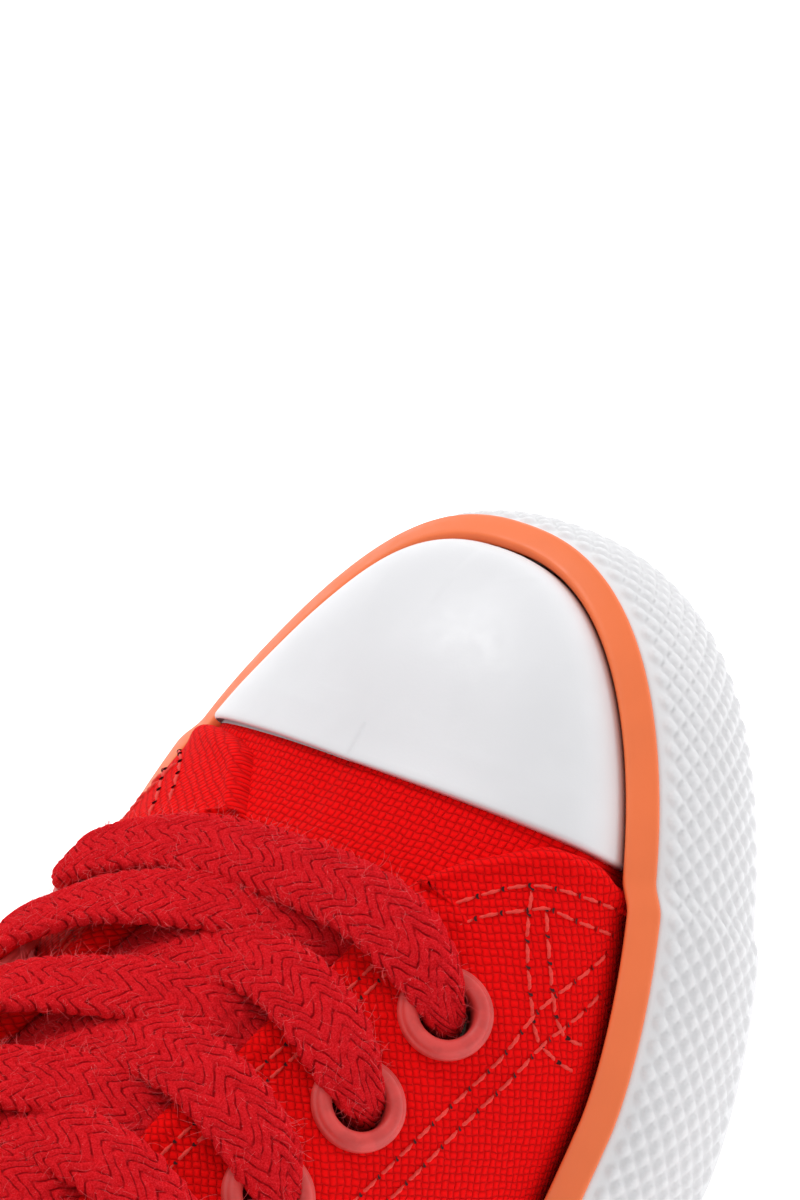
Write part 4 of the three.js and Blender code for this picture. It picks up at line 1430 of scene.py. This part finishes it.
def grow_hairs(run, density, length):
    """Fine loose fibres, as ribbons that leave the braid and curl back."""
    points, a, up, wide, along = run
    rows, cols = points.shape[:2]
    count = int(rows * STEP * density)
    for _ in range(count):
        i = rng.integers(4, rows - 5)
        j = rng.integers(0, cols)
        if math.sin(a[j]) < -0.25:
            continue
        start = points[i, j]
        outward = up[i] * max(math.sin(a[j]), 0.15) + wide[i] * math.cos(a[j]) * 0.8
        heading = along[i] * rng.normal(0, 1) + wide[i] * rng.normal(0, 0.7)
        heading = heading + outward * rng.uniform(0.1, 0.9)
        heading /= np.linalg.norm(heading)
        curl = rng.normal(0, 1, 3) * 0.6
        size = length * rng.uniform(0.4, 1.5)
        steps = 5
        p = start - outward * 0.12
        hair = [p]
        for _ in range(steps):
            heading = heading + curl * 0.35 - outward * 0.12
            heading /= np.linalg.norm(heading)
            p = p + heading * size / steps
            hair.append(p)
        HAIRS.append(np.array(hair))


def led_to(rows, shift, near):
    """The same rows, with those close to the eyelet moved sideways to meet it."""
    return tuple((r[0], r[1] + (shift if near(r[1]) else 0), *r[2:]) for r in rows)


runs = [lace_run("lace_bar", BAR, 0, 0.04)]
for i in range(4):
    to_right = led_to(TO_RIGHT, EYELET_SIDE[-1][1] - EYELET_SIDE[-1][i + 1], lambda x: x <= -24)
    to_left = led_to(TO_LEFT, EYELET_SIDE[1][i + 1] - EYELET_SIDE[1][1], lambda x: x >= 19)
    runs.append(lace_run("lace_to_right_" + str(i + 1), to_right, i, 0.05))
    runs.append(lace_run("lace_to_left_" + str(i + 1), to_left, i, 0.05))
for run in runs:
    grow_hairs(run, 24, 1.6)
run_lengths = [float(arc_lengths(run[0].mean(axis=1), 0)[-1]) for run in runs]
print("visible lace runs, mm", [round(x) for x in run_lengths], "together", round(sum(run_lengths)))

# %% [markdown]
# ## Loose fibres
# Brushed yarn sheds short fibres that stand off the lace and catch the light. Each is a very
# narrow ribbon that turns to face the camera, and all are joined in one mesh.

# %% Loose fibres
HAIR_WIDTH = 0.04
hairs = np.array(HAIRS)
travel = np.gradient(hairs, axis=1)
lateral = np.cross(travel, np.array([-0.61, 0.1, 0.79]))
lateral /= np.maximum(np.linalg.norm(lateral, axis=-1, keepdims=True), 1e-9)
taper = np.linspace(1, 0.4, hairs.shape[1])[None, :, None] * HAIR_WIDTH / 2
ribbon = np.stack([hairs - lateral * taper, hairs + lateral * taper], 2)
n, m = hairs.shape[:2]
index = np.arange(n * m * 2).reshape(n, m, 2)
faces = np.stack([index[:, :-1, 0], index[:, 1:, 0], index[:, 1:, 1], index[:, :-1, 1]], -1).reshape(-1, 4)
fuzz = make_mesh("lace_fibres", ribbon.reshape(-1, 3), faces)
finish_piece(fuzz, LACE_FUZZ, "lace", "laces")

# %% [markdown]
# ## Stage
# A pale floor and large soft lights. The floor glows a little, as a lit table does, so the
# rubber wall is lit from below too. The key light comes over the toe from the shoe's left, and
# a weaker, wider one hangs over the throat.

# %% Floor and lights
floor_mesh = bpy.data.meshes.new("floor")
floor_mesh.from_pydata([(-3, -3, 0), (3, -3, 0), (3, 3, 0), (-3, 3, 0)], [], [(0, 1, 2, 3)])
floor = bpy.data.objects.new("floor", floor_mesh)
bpy.context.scene.collection.objects.link(floor)
g = Graph("floor_white")
g.set(Base_Color=(0.9, 0.9, 0.9, 1), Roughness=0.9)
g.set(Emission_Color=(1, 1, 1, 1), Emission_Strength=0.72)
floor_mesh.materials.append(g.material)

world = bpy.data.worlds.new("studio")
bpy.context.scene.world = world
world.use_nodes = True
world.node_tree.nodes["Background"].inputs[0].default_value = (1, 1, 1, 1)
world.node_tree.nodes["Background"].inputs[1].default_value = 0.54


def soft_light(name, place, size, watts):
    light = bpy.data.lights.new(name, "AREA")
    light.shape = "SQUARE"
    light.size = size
    light.energy = watts
    lamp = bpy.data.objects.new(name, light)
    lamp.location = place
    aim = Vector((0, FRONT * MM * 0.6, 0.02)) - lamp.location
    lamp.rotation_euler = aim.to_track_quat("-Z", "Y").to_euler()
    bpy.context.scene.collection.objects.link(lamp)


soft_light("key", (0.55, -0.9, 1.0), 0.45, 7.6)
soft_light("top", (-0.3, 0.2, 1.2), 0.9, 2.0)
print("lamps", [lamp.name for lamp in bpy.data.lights])

# %% [markdown]
# ## Counting and finishing
# The triangles of every piece that renders are counted, and the total and the largest piece are printed.
# A model meant for reuse has to stay within a budget of triangles, so the pieces are counted.

# %% Count the triangles
triangles = {
    piece.name: sum(len(face.vertices) - 2 for face in piece.data.polygons)
    for piece in bpy.context.scene.objects
    if piece.type == "MESH" and not piece.hide_render
}
largest = max(triangles, key=triangles.get)
print("triangles", sum(triangles.values()), "largest", largest, triangles[largest])
